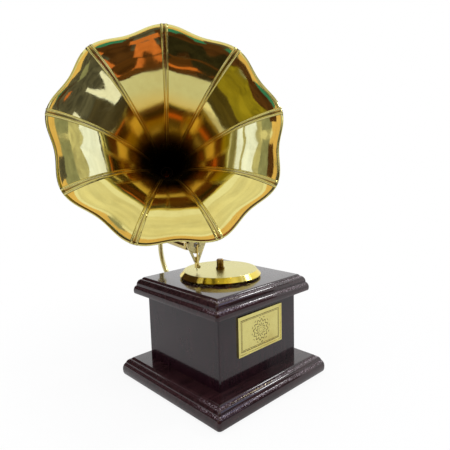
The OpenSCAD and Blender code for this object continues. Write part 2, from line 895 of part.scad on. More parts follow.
// Wrap spring round the winding shaft, one unbroken wire with a held end
module clutch_spring() {
    turns = clutch_coils;
    steps = 24;
    sides = 8;
    wire = clutch_wire_d / 2;
    from_wall = 3;
    coil_r = crank_shaft_d / 2 + wire + running;
    start_x = body_r - board_t - from_wall - turns * clutch_pitch;
    points = [for (i = [0 : turns * steps], s = [0 : sides - 1])
        let (a = i * 360 / steps, r = coil_r + wire * cos(s * 360 / sides))
        [start_x + clutch_pitch * i / steps + wire * sin(s * 360 / sides),
         crank_y + r * cos(a), floor_z + crank_shaft_z + r * sin(a)]];
    last = turns * steps * sides;
    faces = [
        for (i = [0 : turns * steps - 1], s = [0 : sides - 1])
            let (p = i * sides + s, e = i * sides + (s + 1) % sides)
            each quad(p, e, e + sides, p + sides),
        for (s = [1 : sides - 2]) [0, s + 1, s],
        for (s = [1 : sides - 2]) [last, last + s, last + s + 1]
    ];
    color(steel) polyhedron(points, faces, convexity = 8);
}

module governor_brake() {
    pad = 2;
    room = brake_pivot_r - governor_disc_d / 2 - running;
    reach = sqrt(pow(room, 2) - pow(brake_arm_w / 2, 2));
    color(dark_steel) at_governor() translate([0, 0, governor_disc_z])
        translate(polar(brake_pivot_r, brake_dir)) linear_extrude(height = brake_t)
            difference() {
                union() {
                    circle(d = brake_post_d + 2);
                    rotate(brake_dir + 180) translate([0, -brake_arm_w / 2])
                        square([reach, brake_arm_w]);
                    rotate(brake_dir + 90) translate([0, -brake_arm_w / 2])
                        square([brake_post_d + pad, brake_arm_w]);
                }
                circle(d = pivot_d + 2 * running);
            }
}

// Turntable and its spindle

module turntable_disc() {
    edge = 0.8;
    side_h = 1.6;
    color(brass) translate([0, 0, disc_z]) rotate_extrude() polygon([
        [pin_d / 2, 0], [disc_d / 2 - edge, 0], [disc_d / 2, edge],
        [disc_d / 2, side_h], [disc_d / 2 - disc_bevel, disc_t], [pin_d / 2, disc_t]
    ]);
}

module record_spindle() {
    shoulder_d = 12;
    shoulder_t = 0.5;
    tip = 0.8;
    low = floor_z - foot_h + foot_floor + running;
    color(brass) rotate_extrude() polygon([
        [0, low], [spindle_d / 2, low],
        [spindle_d / 2, disc_z - shoulder_t], [shoulder_d / 2, disc_z - shoulder_t],
        [shoulder_d / 2, disc_z], [pin_d / 2, disc_z], [pin_d / 2, disc_top],
        [collar_d / 2, disc_top], [collar_d / 2, disc_top + collar_h],
        [pin_d / 2, disc_top + collar_h], [pin_d / 2, disc_top + pin_h - tip],
        [pin_d / 2 - tip, disc_top + pin_h], [0, disc_top + pin_h]
    ]);
}

module spindle_wheel() {
    hub_d = 5.8;
    pitch = fast_m * spindle_teeth / 2;
    window_at = 0.58;
    window_d = 0.52;
    color(brass) at_floor() {
        translate([0, 0, drive_z]) linear_extrude(height = pinion_t)
            gear(drive_teeth, slow_m, 0, spindle_d);
        translate([0, 0, drive_z + pinion_t])
            ring(hub_d / 2, spindle_d / 2, spindle_wheel_z - drive_z - pinion_t);
        translate([0, 0, spindle_wheel_z]) linear_extrude(height = wheel_t) difference() {
            gear(spindle_teeth, fast_m, 0, spindle_d);
            for (a = [45 : 90 : 315]) translate(polar(pitch * window_at, a)) circle(d = pitch * window_d);
        }
    }
}

// Gear train

module middle_arbor() {
    turn = 0;
    top = motor_h - motor_shaft_gap;
    color(steel) at_middle() {
        translate([0, 0, motor_shaft_gap]) cylinder(d = middle_arbor_d, h = top - motor_shaft_gap);
        translate([0, 0, -motor_plate_t]) cylinder(d = pivot_d, h = motor_h + 2 * motor_plate_t);
        translate([0, 0, barrel_gear_z - pinion_over]) linear_extrude(height = barrel_gear_t + 2 * pinion_over)
            polygon(gear_outline(middle_pinion_teeth, barrel_m, turn));
    }
}

module middle_wheel() {
    hub_d = 8;
    pitch = slow_m * middle_teeth / 2;
    window_at = 0.6;
    window_d = 0.46;
    turn = mesh_turn(middle_dir, 0, drive_teeth, middle_teeth);
    color(brass) at_middle() translate([0, 0, middle_wheel_z]) {
        linear_extrude(height = wheel_t) difference() {
            gear(middle_teeth, slow_m, turn, middle_arbor_d);
            for (a = [0 : 72 : 288]) translate(polar(pitch * window_at, a)) circle(d = pitch * window_d);
        }
        translate([0, 0, wheel_t]) ring(hub_d / 2, middle_arbor_d / 2, wheel_t);
    }
}

module mainspring_barrel() {
    turn = mesh_turn(barrel_dir, 0, middle_pinion_teeth, barrel_teeth);
    bore = arbor_d / 2 + running;
    inner = barrel_d / 2 - barrel_wall;
    color(brass) at_barrel() {
        translate([0, 0, barrel_z]) ring(barrel_d / 2, bore, barrel_wall);
        translate([0, 0, barrel_z + barrel_wall]) ring(barrel_d / 2, inner, barrel_h - barrel_wall);
        translate([0, 0, barrel_gear_z]) linear_extrude(height = barrel_gear_t)
            gear(barrel_teeth, barrel_m, turn, barrel_d - barrel_wall);
    }
}

module barrel_cover() {
    color(brass) at_barrel() translate([0, 0, barrel_z + barrel_h])
        ring(barrel_d / 2, arbor_d / 2 + running, barrel_cover_t);
}

// Spiral of half turns about two centres, from the arbor to the barrel's wall
module mainspring() {
    last_r = barrel_d / 2 - barrel_wall - spring_strip_t / 2;
    halves = 2 * spring_turns;
    step = (last_r - spring_first_r) / halves;
    height = barrel_gear_z - barrel_z - barrel_wall - 2 * spring_room;
    color(dark_steel) at_barrel() translate([0, 0, barrel_z + barrel_wall + spring_room])
        linear_extrude(height = height) for (k = [0 : halves])
            let (r = spring_first_r + step * k, up = k % 2 == 0)
            translate([up ? 0 : step, 0]) intersection() {
                difference() {
                    circle(r = r + spring_strip_t / 2 - (k == halves ? spring_hook : 0));
                    circle(r = r - spring_strip_t / 2);
                }
                translate([-2 * last_r, up ? 0 : -4 * last_r]) square(4 * last_r);
            }
}

module barrel_arbor() {
    top = motor_h - motor_shaft_gap;
    color(steel) at_barrel() {
        translate([0, 0, motor_shaft_gap]) cylinder(d = arbor_d, h = top - motor_shaft_gap);
        translate([0, 0, -motor_plate_t]) cylinder(d = pivot_d, h = motor_h + 2 * motor_plate_t);
        translate([0, 0, barrel_z + barrel_wall + core_room])
            cylinder(d = spring_core_d, h = barrel_gear_z - barrel_z - barrel_wall - 2 * core_room);
    }
}

// Crown wheel whose teeth point down onto the winding shaft's pinion
module winding_wheel() {
    root = winding_pitch_z + dedendum * winding_m;
    tip = winding_pitch_z - addendum * winding_m;
    half = winding_m * PI / 4 * (1 - backlash);
    lean = tan(pressure_angle);
    seat = 0.5;
    hole_at = 0.66;
    hole_d = 1.8;
    color(brass) at_barrel() {
        difference() {
            translate([0, 0, root])
                ring(winding_r + winding_face / 2 + winding_lip, arbor_d / 2, winding_web_t);
            translate([0, 0, root - 1]) for (a = [30 : 60 : 330])
                rotate(a) translate([winding_r * hole_at, 0, 0])
                    cylinder(d = hole_d, h = winding_web_t + 2);
        }
        translate([0, 0, root]) ring(winding_hub_d / 2, arbor_d / 2, barrel_z - free_gap - root);
        for (t = [0.5 : winding_teeth - 0.5]) rotate(t * 360 / winding_teeth)
            translate([winding_r - winding_face / 2, 0, 0]) rotate([90, 0, 90])
                linear_extrude(height = winding_face) polygon([
                    [-half - lean * (root - winding_pitch_z), root + seat],
                    [-half - lean * (root - winding_pitch_z), root],
                    [-half + lean * (winding_pitch_z - tip), tip],
                    [half - lean * (winding_pitch_z - tip), tip],
                    [half + lean * (root - winding_pitch_z), root],
                    [half + lean * (root - winding_pitch_z), root + seat]
                ]);
    }
}

// Governor

module governor_arbor() {
    turn = mesh_turn(governor_dir, 0, spindle_teeth, governor_teeth);
    color(steel) at_governor() {
        translate([0, 0, motor_shaft_gap])
            cylinder(d = governor_arbor_d, h = motor_h - 2 * motor_shaft_gap);
        translate([0, 0, -motor_plate_t])
            cylinder(d = governor_pivot_d, h = motor_h + 2 * motor_plate_t);
        translate([0, 0, governor_pinion_z]) linear_extrude(height = pinion_t)
            polygon(gear_outline(governor_teeth, fast_m, turn));
        translate([0, 0, governor_collar_z])
            cylinder(d = governor_collar_d, h = governor_hub_h);
    }
}

module governor_disc() {
    color(brass) at_governor() translate([0, 0, governor_disc_z]) {
        ring(governor_disc_d / 2, governor_arbor_d / 2, governor_disc_t);
        ring(governor_collar_d / 2, governor_arbor_d / 2, governor_hub_h);
    }
}

// Bowed leaf springs between the disc's hub and the fixed collar
governor_low = governor_disc_z + governor_hub_h / 2 + governor_foot;
governor_high = governor_collar_z + governor_hub_h / 2;
governor_half = (governor_high - governor_low) / 2;
governor_bow_r = (governor_half * governor_half + governor_spring_out * governor_spring_out)
    / (2 * governor_spring_out);
governor_bow_a = asin(governor_half / governor_bow_r);

module at_governor_springs() {
    at_governor() for (i = [0 : governor_spring_count - 1])
        rotate([0, 0, i * 360 / governor_spring_count])
            translate([governor_collar_d / 2 + governor_spring_out - governor_bow_r, 0,
                       governor_low + governor_half]) children();
}

module governor_springs() {
    color(steel) at_governor_springs() rotate([90, 0, 0])
        rotate([0, 0, -governor_bow_a]) rotate_extrude(angle = 2 * governor_bow_a)
            translate([governor_bow_r, -governor_spring_w / 2])
                square([governor_spring_t, governor_spring_w]);
}

module governor_weights() {
    color(brass) at_governor_springs()
        translate([governor_bow_r + governor_spring_t, 0, 0]) rotate([0, 90, 0])
            cylinder(d = governor_weight_d, h = governor_weight_t);
}

// Winding shaft and crank

module winding_shaft() {
    turn = 0;
    end_x = crank_x + crank_arm_t;
    start_x = crank_pinion_x - winding_face / 2 - 1;
    color(steel) at_crank() {
        translate([0, 0, start_x]) cylinder(d = crank_shaft_d, h = end_x - start_x);
        translate([0, 0, crank_pinion_x - winding_face / 2 - pinion_over])
            linear_extrude(height = winding_face + 2 * pinion_over)
                polygon(gear_outline(crank_teeth, winding_m, turn));
    }
}

module crank_arm() {
    waist = 0.5;
    color(steel) at_crank() rotate(crank_rest) translate([0, 0, crank_x])
        linear_extrude(height = crank_arm_t) difference() {
            union() {
                circle(d = crank_eye_d);
                translate([crank_len, 0]) circle(d = crank_tip_d);
                polygon([
                    [0, waist - crank_eye_d / 2], [crank_len, waist - crank_tip_d / 2],
                    [crank_len, crank_tip_d / 2 - waist], [0, crank_eye_d / 2 - waist]
                ]);
            }
            circle(d = crank_shaft_d);
            translate([crank_len, 0]) circle(d = knob_pin_d);
        }
}

module crank_knob_pin() {
    color(steel) at_crank() rotate(crank_rest) translate([crank_len, 0, crank_x]) {
        cylinder(d = knob_pin_d, h = crank_arm_t + knob_gap + knob_len + knob_gap);
        translate([0, 0, crank_arm_t + knob_gap + knob_len + knob_gap])
            cylinder(d = knob_pin_head_d, h = knob_pin_head_h);
    }
}

// Pear-shaped grip: one large and one small arc joined by a cone
module crank_knob() {
    small_d = knob_d * 0.62;
    foot_h = 2;
    waist = 0.8;
    shoulder = 0.2;
    bore = knob_pin_d / 2 + running;
    color(wood) at_crank() rotate(crank_rest)
        translate([crank_len, 0, crank_x + crank_arm_t + knob_gap])
            rotate_extrude() difference() {
                intersection() {
                    union() {
                        translate([0, knob_len - knob_d / 2]) circle(d = knob_d);
                        polygon([
                            [0, 0], [small_d / 2, 0], [small_d / 2, foot_h],
                            [small_d / 2 - waist, foot_h + 1],
                            [knob_d / 2 - shoulder, knob_len - knob_d / 2],
                            [0, knob_len]
                        ]);
                    }
                    square([knob_d, knob_len]);
                }
                translate([0, -1]) square([bore, knob_len + 2]);
            }
}

// Tonearm and sound box

module tonearm_collar() {
    cap = 0.8;
    cap_d = arm_collar_d + 1.2;
    color(brass) at_tonearm() translate([0, 0, arm_collar_z]) difference() {
        union() {
            cylinder(d = arm_collar_d, h = arm_collar_h);
            cylinder(d = cap_d, h = cap);
            translate([0, 0, arm_collar_h - cap]) cylinder(d = cap_d, h = cap);
        }
        translate([0, 0, -1]) cylinder(r = tube_d / 2 + running, h = arm_collar_h + 2);
        translate([0, 0, arm_collar_h / 2 - gallery_h / 2]) cylinder(d = gallery_d, h = gallery_h);
        translate([0, 0, arm_collar_h / 2]) rotate([90, 0, 0])
            cylinder(d = sound_hole_d, h = arm_collar_d);
    }
}

module tonearm_tube() {
    color(brass) at_tonearm() {
        difference() {
            translate([0, 0, arm_z]) rotate([90, 0, 0]) ring(arm_d / 2, arm_bore / 2, arm_straight);
            translate([0, 0, arm_z - arm_d]) cylinder(d = arm_collar_d, h = 2 * arm_d);
        }
        translate([0, -arm_straight, arm_z]) rotate([90, 0, 0])
            bent_tube_up(neck_r, neck_angle, arm_d, arm_bore);
        translate([0, -arm_straight - neck_run, box_z]) rotate([-90, 0, 0]) mirror([0, 1, 0])
            bent_tube_up(neck_r, neck_angle, arm_d, arm_bore);
        translate([0, -arm_straight - neck_run, box_z]) rotate([90, 0, 0])
            ring(arm_d / 2, arm_bore / 2, neck_straight);
    }
}

// Bent tube that starts along +Z and bends to +Y
module bent_tube_up(r, angle, od, id) {
    mirror([0, 1, 0]) bent_tube(r, angle, od, id);
}

module sound_box() {
    rim = 1;
    back = arm_d / 2 + running;
    cavity = box_d / 2 - box_rim;
    ledge = 0.6;
    color(brass) at_sound_box() rotate_extrude() difference() {
        union() {
            square([box_d / 2 - rim, box_t - fork_t]);
            translate([0, rim]) square([box_d / 2, box_t - fork_t - rim]);
            translate([box_d / 2 - rim, rim]) circle(r = rim);
            translate([0, -neck_sleeve]) square([back + neck_sleeve_wall, neck_sleeve + 1]);
        }
        translate([0, -neck_sleeve - 1]) square([back, neck_sleeve + box_floor + 2]);
        translate([0, box_floor]) square([cavity - ledge, box_t]);
        translate([0, box_t - diaphragm_in - diaphragm_t]) square([cavity, box_t]);
    }
}

module diaphragm() {
    boss_d = 2.4;
    cavity = box_d / 2 - box_rim;
    color(steel) at_sound_box() translate([0, 0, box_t - diaphragm_in - diaphragm_t]) {
        cylinder(r = cavity, h = diaphragm_t);
        cylinder(d = boss_d, h = diaphragm_t + boss_h);
    }
}

// Front plate of the sound box with two legs that meet over the chuck
module stylus_fork() {
    rim = 0.6;
    seat = 0.3;
    drop = box_rise - chuck_z - chuck_h;
    ear = box_d / 2 - 3 * seat;
    web_w = fork_tip_w / 2 + (fork_w - fork_tip_w) / 2 * fork_web / (drop + fork_ear) - fork_leg;
    color(brass) at_sound_box() {
        translate([0, 0, box_t - fork_t]) rotate_extrude() difference() {
            union() {
                square([box_d / 2 - rim, fork_t]);
                square([box_d / 2, fork_t - rim]);
                translate([box_d / 2 - rim, fork_t - rim]) circle(r = rim);
            }
            square([fork_window_d / 2, fork_t + 1]);
        }
        translate([0, 0, box_t - fork_t]) linear_extrude(height = fork_t - rim) difference() {
            polygon([
                [fork_w / 2, fork_ear], [fork_tip_w / 2, -drop],
                [-fork_tip_w / 2, -drop], [-fork_w / 2, fork_ear]
            ]);
            polygon([
                [ear, fork_ear + 1], [web_w, fork_web - drop],
                [-web_w, fork_web - drop], [-ear, fork_ear + 1]
            ]);
            circle(d = box_d - 2 * seat);
        }
    }
}

// Chuck for the needle and the bar that carries its motion to the diaphragm
module stylus_bar() {
    front = box_t + bar_gap;
    foot = box_rise - chuck_z - chuck_h;
    step = 1.6;
    sunk = 0.5;
    point = 0.8;
    color(steel) at_sound_box() {
        difference() {
            translate([0, -box_rise + chuck_z, needle_off]) rotate([-90, 0, 0])
                cylinder(d = chuck_d, h = chuck_h);
            translate([0, -box_rise + chuck_z - 1, needle_off]) rotate([-90, 0, 0])
                cylinder(d = needle_d, h = needle_grip + 1);
            translate([0, -box_rise + chuck_z + grub_up, needle_off])
                cylinder(d = grub_d, h = chuck_d);
        }
        translate([-bar_w / 2, -foot - step, needle_off + sunk])
            cube([bar_w, step, front + bar_t - needle_off - sunk]);
        translate([-bar_w / 2, -foot - step, front]) cube([bar_w, foot + step, bar_t]);
        translate([0, 0, box_t - diaphragm_in + boss_h])
            cylinder(d = bar_w, h = front - box_t + diaphragm_in - boss_h + bar_t + point);
    }
}

module needle() {
    taper = 4;
    point_r = 0.15;
    color(steel) at_sound_box() translate([0, -box_rise, needle_off]) rotate([-90, 0, 0])
        rotate_extrude() polygon([
            [0, 0], [point_r, 0], [needle_d / 2, taper],
            [needle_d / 2, chuck_z + needle_grip], [0, chuck_z + needle_grip]
        ]);
}

module needle_screw() {
    tip = needle_d / 2;
    color(brass) at_sound_box() translate([0, -box_rise + chuck_z + grub_up, needle_off]) {
        translate([0, 0, tip]) cylinder(d = grub_d, h = chuck_d / 2 + grub_shown - tip);
        translate([0, 0, chuck_d / 2 + grub_shown]) cylinder(d = grub_head_d, h = grub_head_h);
    }
}

// Horn

module horn_elbow() {
    tail = socket_h + 0.2 - socket_grip - tail_gap;
    color(brass) {
        at_horn() translate([0, 0, elbow_z - tail]) ring(elbow_d / 2, elbow_bore / 2, tail);
        at_horn() translate([0, 0, elbow_z]) bent_tube(elbow_r, elbow_angle, elbow_d, elbow_bore);
        at_bell() translate([0, 0, elbow_tangent]) rotate_extrude() polygon([
            [spigot_bore / 2, -elbow_bead_h], [elbow_bead_d / 2, -elbow_bead_h],
            [elbow_bead_d / 2, elbow_bead_over], [elbow_d / 2, elbow_bead_over],
            [elbow_d / 2, neck_len + spigot_len], [spigot_bore / 2, neck_len + spigot_len]
        ]);
    }
}

// Turned ring that grips the elbow and the petals' throat ends
module throat_ferrule() {
    bead = 1;
    cup = throat_r + sheet_t + ferrule_room;
    color(brass) at_bell() translate([0, 0, bell_z - ferrule_grip]) rotate_extrude() difference() {
        union() {
            square([ferrule_d / 2 - bead, ferrule_h]);
            translate([ferrule_d / 2 - bead, bead]) circle(r = bead);
            translate([ferrule_d / 2 - bead, ferrule_h / 2]) circle(r = bead);
            translate([ferrule_d / 2 - bead, ferrule_h - bead]) circle(r = bead);
        }
        translate([0, -1]) square([elbow_d / 2, ferrule_h + 2]);
        translate([0, ferrule_grip]) square([cup, ferrule_h]);
    }
}

module horn_petal_1() { petal(0); }
module horn_petal_2() { petal(1); }
module horn_petal_3() { petal(2); }
module horn_petal_4() { petal(3); }
module horn_petal_5() { petal(4); }
module horn_petal_6() { petal(5); }
module horn_petal_7() { petal(6); }
module horn_petal_8() { petal(7); }
module horn_petal_9() { petal(8); }

module horn_seams() {
    color(brass) for (k = [0 : petals - 1], side = [-1, 1]) seam(k, side);
}

// One line per node

felt_sheet();
plinth();
bottom_panel();
wood_screws();
body_front();
body_back();
body_left();
body_right();
lid();
plaque();
bracket_flange();
bracket_tube();
horn_socket();
horn_clamp_screw();
motor_top_plate();
motor_bottom_plate();
motor_pillars();
motor_studs();
spindle_bushing();
crank_bushing();
clutch_spring();
governor_brake();
turntable_disc();
record_spindle();
spindle_wheel();
middle_arbor();
middle_wheel();
mainspring_barrel();
barrel_cover();
mainspring();
barrel_arbor();
winding_wheel();
winding_shaft();
crank_arm();
crank_knob();
crank_knob_pin();
governor_arbor();
governor_disc();
governor_springs();
governor_weights();
tonearm_collar();
tonearm_tube();
sound_box();
diaphragm();
stylus_fork();
stylus_bar();
needle();
needle_screw();
horn_elbow();
throat_ferrule();
horn_petal_1();
horn_petal_2();
horn_petal_3();
horn_petal_4();
horn_petal_5();
horn_petal_6();
horn_petal_7();
horn_petal_8();
horn_petal_9();
horn_seams();
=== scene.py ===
import json
import math

import bmesh
import bpy
from mathutils import Matrix, Quaternion, Vector


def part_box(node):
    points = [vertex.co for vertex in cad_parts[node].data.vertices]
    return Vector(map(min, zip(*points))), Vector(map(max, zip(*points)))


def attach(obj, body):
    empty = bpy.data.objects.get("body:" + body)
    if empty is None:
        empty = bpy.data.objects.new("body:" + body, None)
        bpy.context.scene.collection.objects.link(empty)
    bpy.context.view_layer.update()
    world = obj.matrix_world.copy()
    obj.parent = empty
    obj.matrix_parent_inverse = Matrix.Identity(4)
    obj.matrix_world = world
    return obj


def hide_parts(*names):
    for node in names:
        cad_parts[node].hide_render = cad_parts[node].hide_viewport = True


MM = 0.001

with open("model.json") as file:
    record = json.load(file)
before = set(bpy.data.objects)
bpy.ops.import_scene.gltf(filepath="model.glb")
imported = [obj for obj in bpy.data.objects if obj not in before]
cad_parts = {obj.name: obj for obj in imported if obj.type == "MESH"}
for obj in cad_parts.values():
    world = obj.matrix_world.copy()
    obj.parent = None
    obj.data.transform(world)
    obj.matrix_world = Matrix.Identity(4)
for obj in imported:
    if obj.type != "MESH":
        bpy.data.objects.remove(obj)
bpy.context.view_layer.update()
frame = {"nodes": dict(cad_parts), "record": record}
nodes = frame["nodes"]

# The horn's own sizes as the solids have them, in millimetres and degrees; a start or an end
# is a share of the way from throat to rim
BELL_LENGTH = 116.8
THROAT_RADIUS = 6.6
MOUTH_RADIUS = 100.2
SHEET = 1.0
SCALLOP = 0.065
SCALLOP_START = 0.6
SCALLOP_END = 0.95
FLAT_START = 0.05
FLAT_END = 0.25
PETALS = 9
PETAL_ANGLE = 360.0 / PETALS
FIRST_RIB = 90.0
HORN_TURN = -33.5
HORN_TILT = 19.25
HORN_Y = 87.0
ELBOW_RADIUS = 26.0
ELBOW_FOOT = 183.6
NECK = 4.0
BEND_TANGENT = ELBOW_RADIUS * math.tan(math.radians((90.0 - HORN_TILT) / 2))
FLARE_POWER = 0.7
FLARE_ROUNDNESS = 0.64
SEAM_WIDTH = 7.0
SEAM_THROAT_WIDTH = 2.4
BEAD = 1.0
SEAM_START = 0.03
SEAM_UNDERSIDE = 0.02
SEAM_LIFT = 0.10
ROW_SPACING = 1.5
THROAT_EDGE = 0.04
PETAL_COLUMNS = 22
SEAM_COLUMNS = 24
ROWS = 54


# Node helpers

def new_material(name):
    mat = bpy.data.materials.new(name)
    mat.use_nodes = True
    mat.node_tree.nodes.clear()
    return mat


class Nodes:
    """Small helper that adds and links shader nodes in one tree."""

    def __init__(self, tree):
        self.tree = tree

    def add(self, kind, **values):
        node = self.tree.nodes.new(kind)
        for key, value in values.items():
            setattr(node, key, value)
        return node

    def link(self, source, target):
        self.tree.links.new(source, target)

    def feed(self, target, value):
        if isinstance(value, bpy.types.NodeSocket):
            self.link(value, target)
        elif value is not None:
            target.default_value = value

    def math(self, operation, a, b=None, c=None):
        node = self.add("ShaderNodeMath", operation=operation)
        self.feed(node.inputs[0], a)
        self.feed(node.inputs[1], b)
        self.feed(node.inputs[2], c)
        return node.outputs[0]

    def mix(self, factor, a, b):
        node = self.add("ShaderNodeMix", data_type="RGBA")
        self.feed(node.inputs["Factor"], factor)
        self.feed(node.inputs["A"], a)
        self.feed(node.inputs["B"], b)
        return node.outputs["Result"]

    def noise(self, vector, scale, detail=2.0, roughness=0.5, distortion=0.0):
        node = self.add("ShaderNodeTexNoise")
        self.feed(node.inputs["Vector"], vector)
        node.inputs["Scale"].default_value = scale
        node.inputs["Detail"].default_value = detail
        node.inputs["Roughness"].default_value = roughness
        node.inputs["Distortion"].default_value = distortion
        return node.outputs["Fac"]

    def spread(self, value, low, high, out_low=0.0, out_high=1.0, smooth=False):
        node = self.add("ShaderNodeMapRange")
        node.interpolation_type = "SMOOTHSTEP" if smooth else "LINEAR"
        self.feed(node.inputs["Value"], value)
        node.inputs["From Min"].default_value = low
        node.inputs["From Max"].default_value = high
        node.inputs["To Min"].default_value = out_low
        node.inputs["To Max"].default_value = out_high
        return node.outputs["Result"]

    def stretched(self, scale, turn=(0, 0, 0)):
        place = self.add("ShaderNodeTexCoord")
        mapping = self.add("ShaderNodeMapping")
        self.link(place.outputs["Object"], mapping.inputs["Vector"])
        mapping.inputs["Scale"].default_value = scale
        mapping.inputs["Rotation"].default_value = turn
        return mapping.outputs["Vector"]

    def position(self):
        place = self.add("ShaderNodeTexCoord")
        return place.outputs["Object"]

    def parts(self, vector):
        node = self.add("ShaderNodeSeparateXYZ")
        self.link(vector, node.inputs[0])
        return node.outputs["X"], node.outputs["Y"], node.outputs["Z"]

    def length(self, a, b):
        squares = self.math("ADD", self.math("POWER", a, 2.0), self.math("POWER", b, 2.0))
        return self.math("SQRT", squares)

    def bump(self, height, strength, distance, normal=None):
        node = self.add("ShaderNodeBump")
        node.inputs["Strength"].default_value = strength
        node.inputs["Distance"].default_value = distance
        self.feed(node.inputs["Height"], height)
        if normal is not None:
            self.link(normal, node.inputs["Normal"])
        return node.outputs["Normal"]

    def group(self, tree, **values):
        node = self.add("ShaderNodeGroup")
        node.node_tree = tree
        for key, value in values.items():
            self.feed(node.inputs[key.replace("_", " ")], value)
        return node

    def finish(self, **values):
        shader = self.add("ShaderNodeBsdfPrincipled")
        output = self.add("ShaderNodeOutputMaterial")
        for key, value in values.items():
            self.feed(shader.inputs[key.replace("_", " ")], value)
        self.link(shader.outputs["BSDF"], output.inputs["Surface"])


def new_group(name, inputs, outputs):
    tree = bpy.data.node_groups.new(name, "ShaderNodeTree")
    for label, kind, value in inputs:
        socket = tree.interface.new_socket(label, in_out="INPUT", socket_type=kind)
        if value is not None:
            socket.default_value = value
    for label, kind in outputs:
        tree.interface.new_socket(label, in_out="OUTPUT", socket_type=kind)
    return tree, Nodes(tree), tree.nodes.new("NodeGroupInput"), tree.nodes.new("NodeGroupOutput")


def rgb(r, g, b):
    """Linear colour of a 0 to 255 display colour."""
    def linear(v):
        v /= 255.0
        return v / 12.92 if v <= 0.04045 else ((v + 0.055) / 1.055) ** 2.4
    return (linear(r), linear(g), linear(b), 1.0)


# Shared effects

SKIN_OUTPUTS = [("Color", "NodeSocketColor"), ("Roughness", "NodeSocketFloat"),
                ("Normal", "NodeSocketVector")]


def make_brass_wear():
    """Cloudy tarnish, fine wiping marks and small dark specks of a lacquered brass skin."""
    tree, n, given, out = new_group(
        "brass_wear",
        [("Clean", "NodeSocketColor", rgb(226, 214, 140)),
         ("Tarnish", "NodeSocketColor", rgb(176, 140, 70)),
         ("Amount", "NodeSocketFloat", 0.3),
         ("Roughness", "NodeSocketFloat", 0.1)],
        SKIN_OUTPUTS)
    place = n.position()
    cloud = n.spread(n.noise(place, 16.0, 4.0, 0.6), 0.42, 0.72, smooth=True)
    fine = n.spread(n.noise(place, 140.0, 3.0, 0.6), 0.4, 0.75, smooth=True)
    specks = n.spread(n.noise(place, 900.0, 1.0), 0.70, 0.78)
    tarnish = n.math("MULTIPLY", given.outputs["Amount"], n.math("MULTIPLY_ADD", fine, 0.4, cloud))
    colour = n.mix(tarnish, given.outputs["Clean"], given.outputs["Tarnish"])
    speck_amount = n.math("MULTIPLY", specks, n.math("MULTIPLY", given.outputs["Amount"], 0.5))
    colour = n.mix(speck_amount, colour, rgb(92, 64, 26))
    n.link(colour, out.inputs["Color"])
    wiped = n.noise(n.stretched((40.0, 400.0, 120.0), (0.4, 0.2, 0.7)), 6.0, 2.0)
    rough = n.math("MULTIPLY_ADD", cloud, 0.05, given.outputs["Roughness"])
    rough = n.math("MULTIPLY_ADD", n.spread(wiped, 0.45, 0.7), 0.03, rough)
    n.link(rough, out.inputs["Roughness"])
    dents = n.noise(place, 26.0, 2.0, 0.45)
    normal = n.bump(dents, 0.16, 0.0022)
    normal = n.bump(n.noise(place, 210.0, 2.0), 0.05, 0.0004, normal)
    n.link(normal, out.inputs["Normal"])
    return tree


def make_wood_lacquer():
    """Dark stained grain under gloss, lighter and redder along the given edges."""
    tree, n, given, out = new_group(
        "wood_lacquer",
        [("Dark", "NodeSocketColor", rgb(34, 22, 24)),
         ("Light", "NodeSocketColor", rgb(62, 36, 34)),
         ("Grain Vector", "NodeSocketVector", None),
         ("Edge", "NodeSocketFloat", 0.0)],
        SKIN_OUTPUTS)
    grain = n.noise(given.outputs["Grain Vector"], 9.0, 6.0, 0.62, 0.35)
    pores = n.noise(given.outputs["Grain Vector"], 60.0, 2.0, 0.6)
    streak = n.spread(grain, 0.35, 0.68, smooth=True)
    colour = n.mix(streak, given.outputs["Dark"], given.outputs["Light"])
    colour = n.mix(n.math("MULTIPLY", given.outputs["Edge"], 0.5), colour, rgb(58, 34, 38))
    n.link(colour, out.inputs["Color"])
    place = n.position()
    haze = n.noise(place, 24.0, 3.0, 0.6)
    rough = n.spread(haze, 0.3, 0.75, 0.20, 0.34)
    n.link(rough, out.inputs["Roughness"])
    ripple = n.noise(place, 55.0, 2.0, 0.5)
    height = n.math("MULTIPLY_ADD", n.spread(pores, 0.55, 0.75), -0.25, ripple)
    n.link(n.bump(height, 0.10, 0.0006), out.inputs["Normal"])
    return tree


def make_turned_marks():
    """Fine concentric lines that a lathe leaves, about the Z axis through a given centre."""
    tree, n, given, out = new_group(
        "turned_marks",
        [("Centre", "NodeSocketVector", (0.0, 0.0, 0.0)),
         ("Pitch", "NodeSocketFloat", 0.0004)],
        [("Line", "NodeSocketFloat")])
    place = n.position()
    offset = n.add("ShaderNodeVectorMath", operation="SUBTRACT")
    n.link(place, offset.inputs[0])
    n.link(given.outputs["Centre"], offset.inputs[1])
    x, y = n.parts(offset.outputs[0])[:2]
    radius = n.length(x, y)
    wobble = n.math("MULTIPLY", n.noise(place, 300.0, 2.0), 0.0003)
    turns = n.math("DIVIDE", n.math("ADD", radius, wobble), given.outputs["Pitch"])
    n.link(n.math("SINE", n.math("MULTIPLY", turns, math.tau)), out.inputs["Line"])
    return tree


brass_wear = make_brass_wear()
wood_lacquer = make_wood_lacquer()
turned_marks = make_turned_marks()


# The horn's sheet

def smooth(a, b, x):
    """0 up to a, 1 from b on, and an even S between."""
    t = min(max((x - a) / (b - a), 0.0), 1.0)
    return t * t * (3.0 - 2.0 * t)


def flare_radius(x):
    """Radius of the round flare, x from 0 at the throat to 1 at the rim."""
    return THROAT_RADIUS + (MOUTH_RADIUS - THROAT_RADIUS) * x


def flare_depth(x):
    """How far behind the mouth the flare lies at x."""
    return BELL_LENGTH * max(1.0 - max(x, 0.0) ** FLARE_POWER, 0.0) ** (1.0 / FLARE_ROUNDNESS)


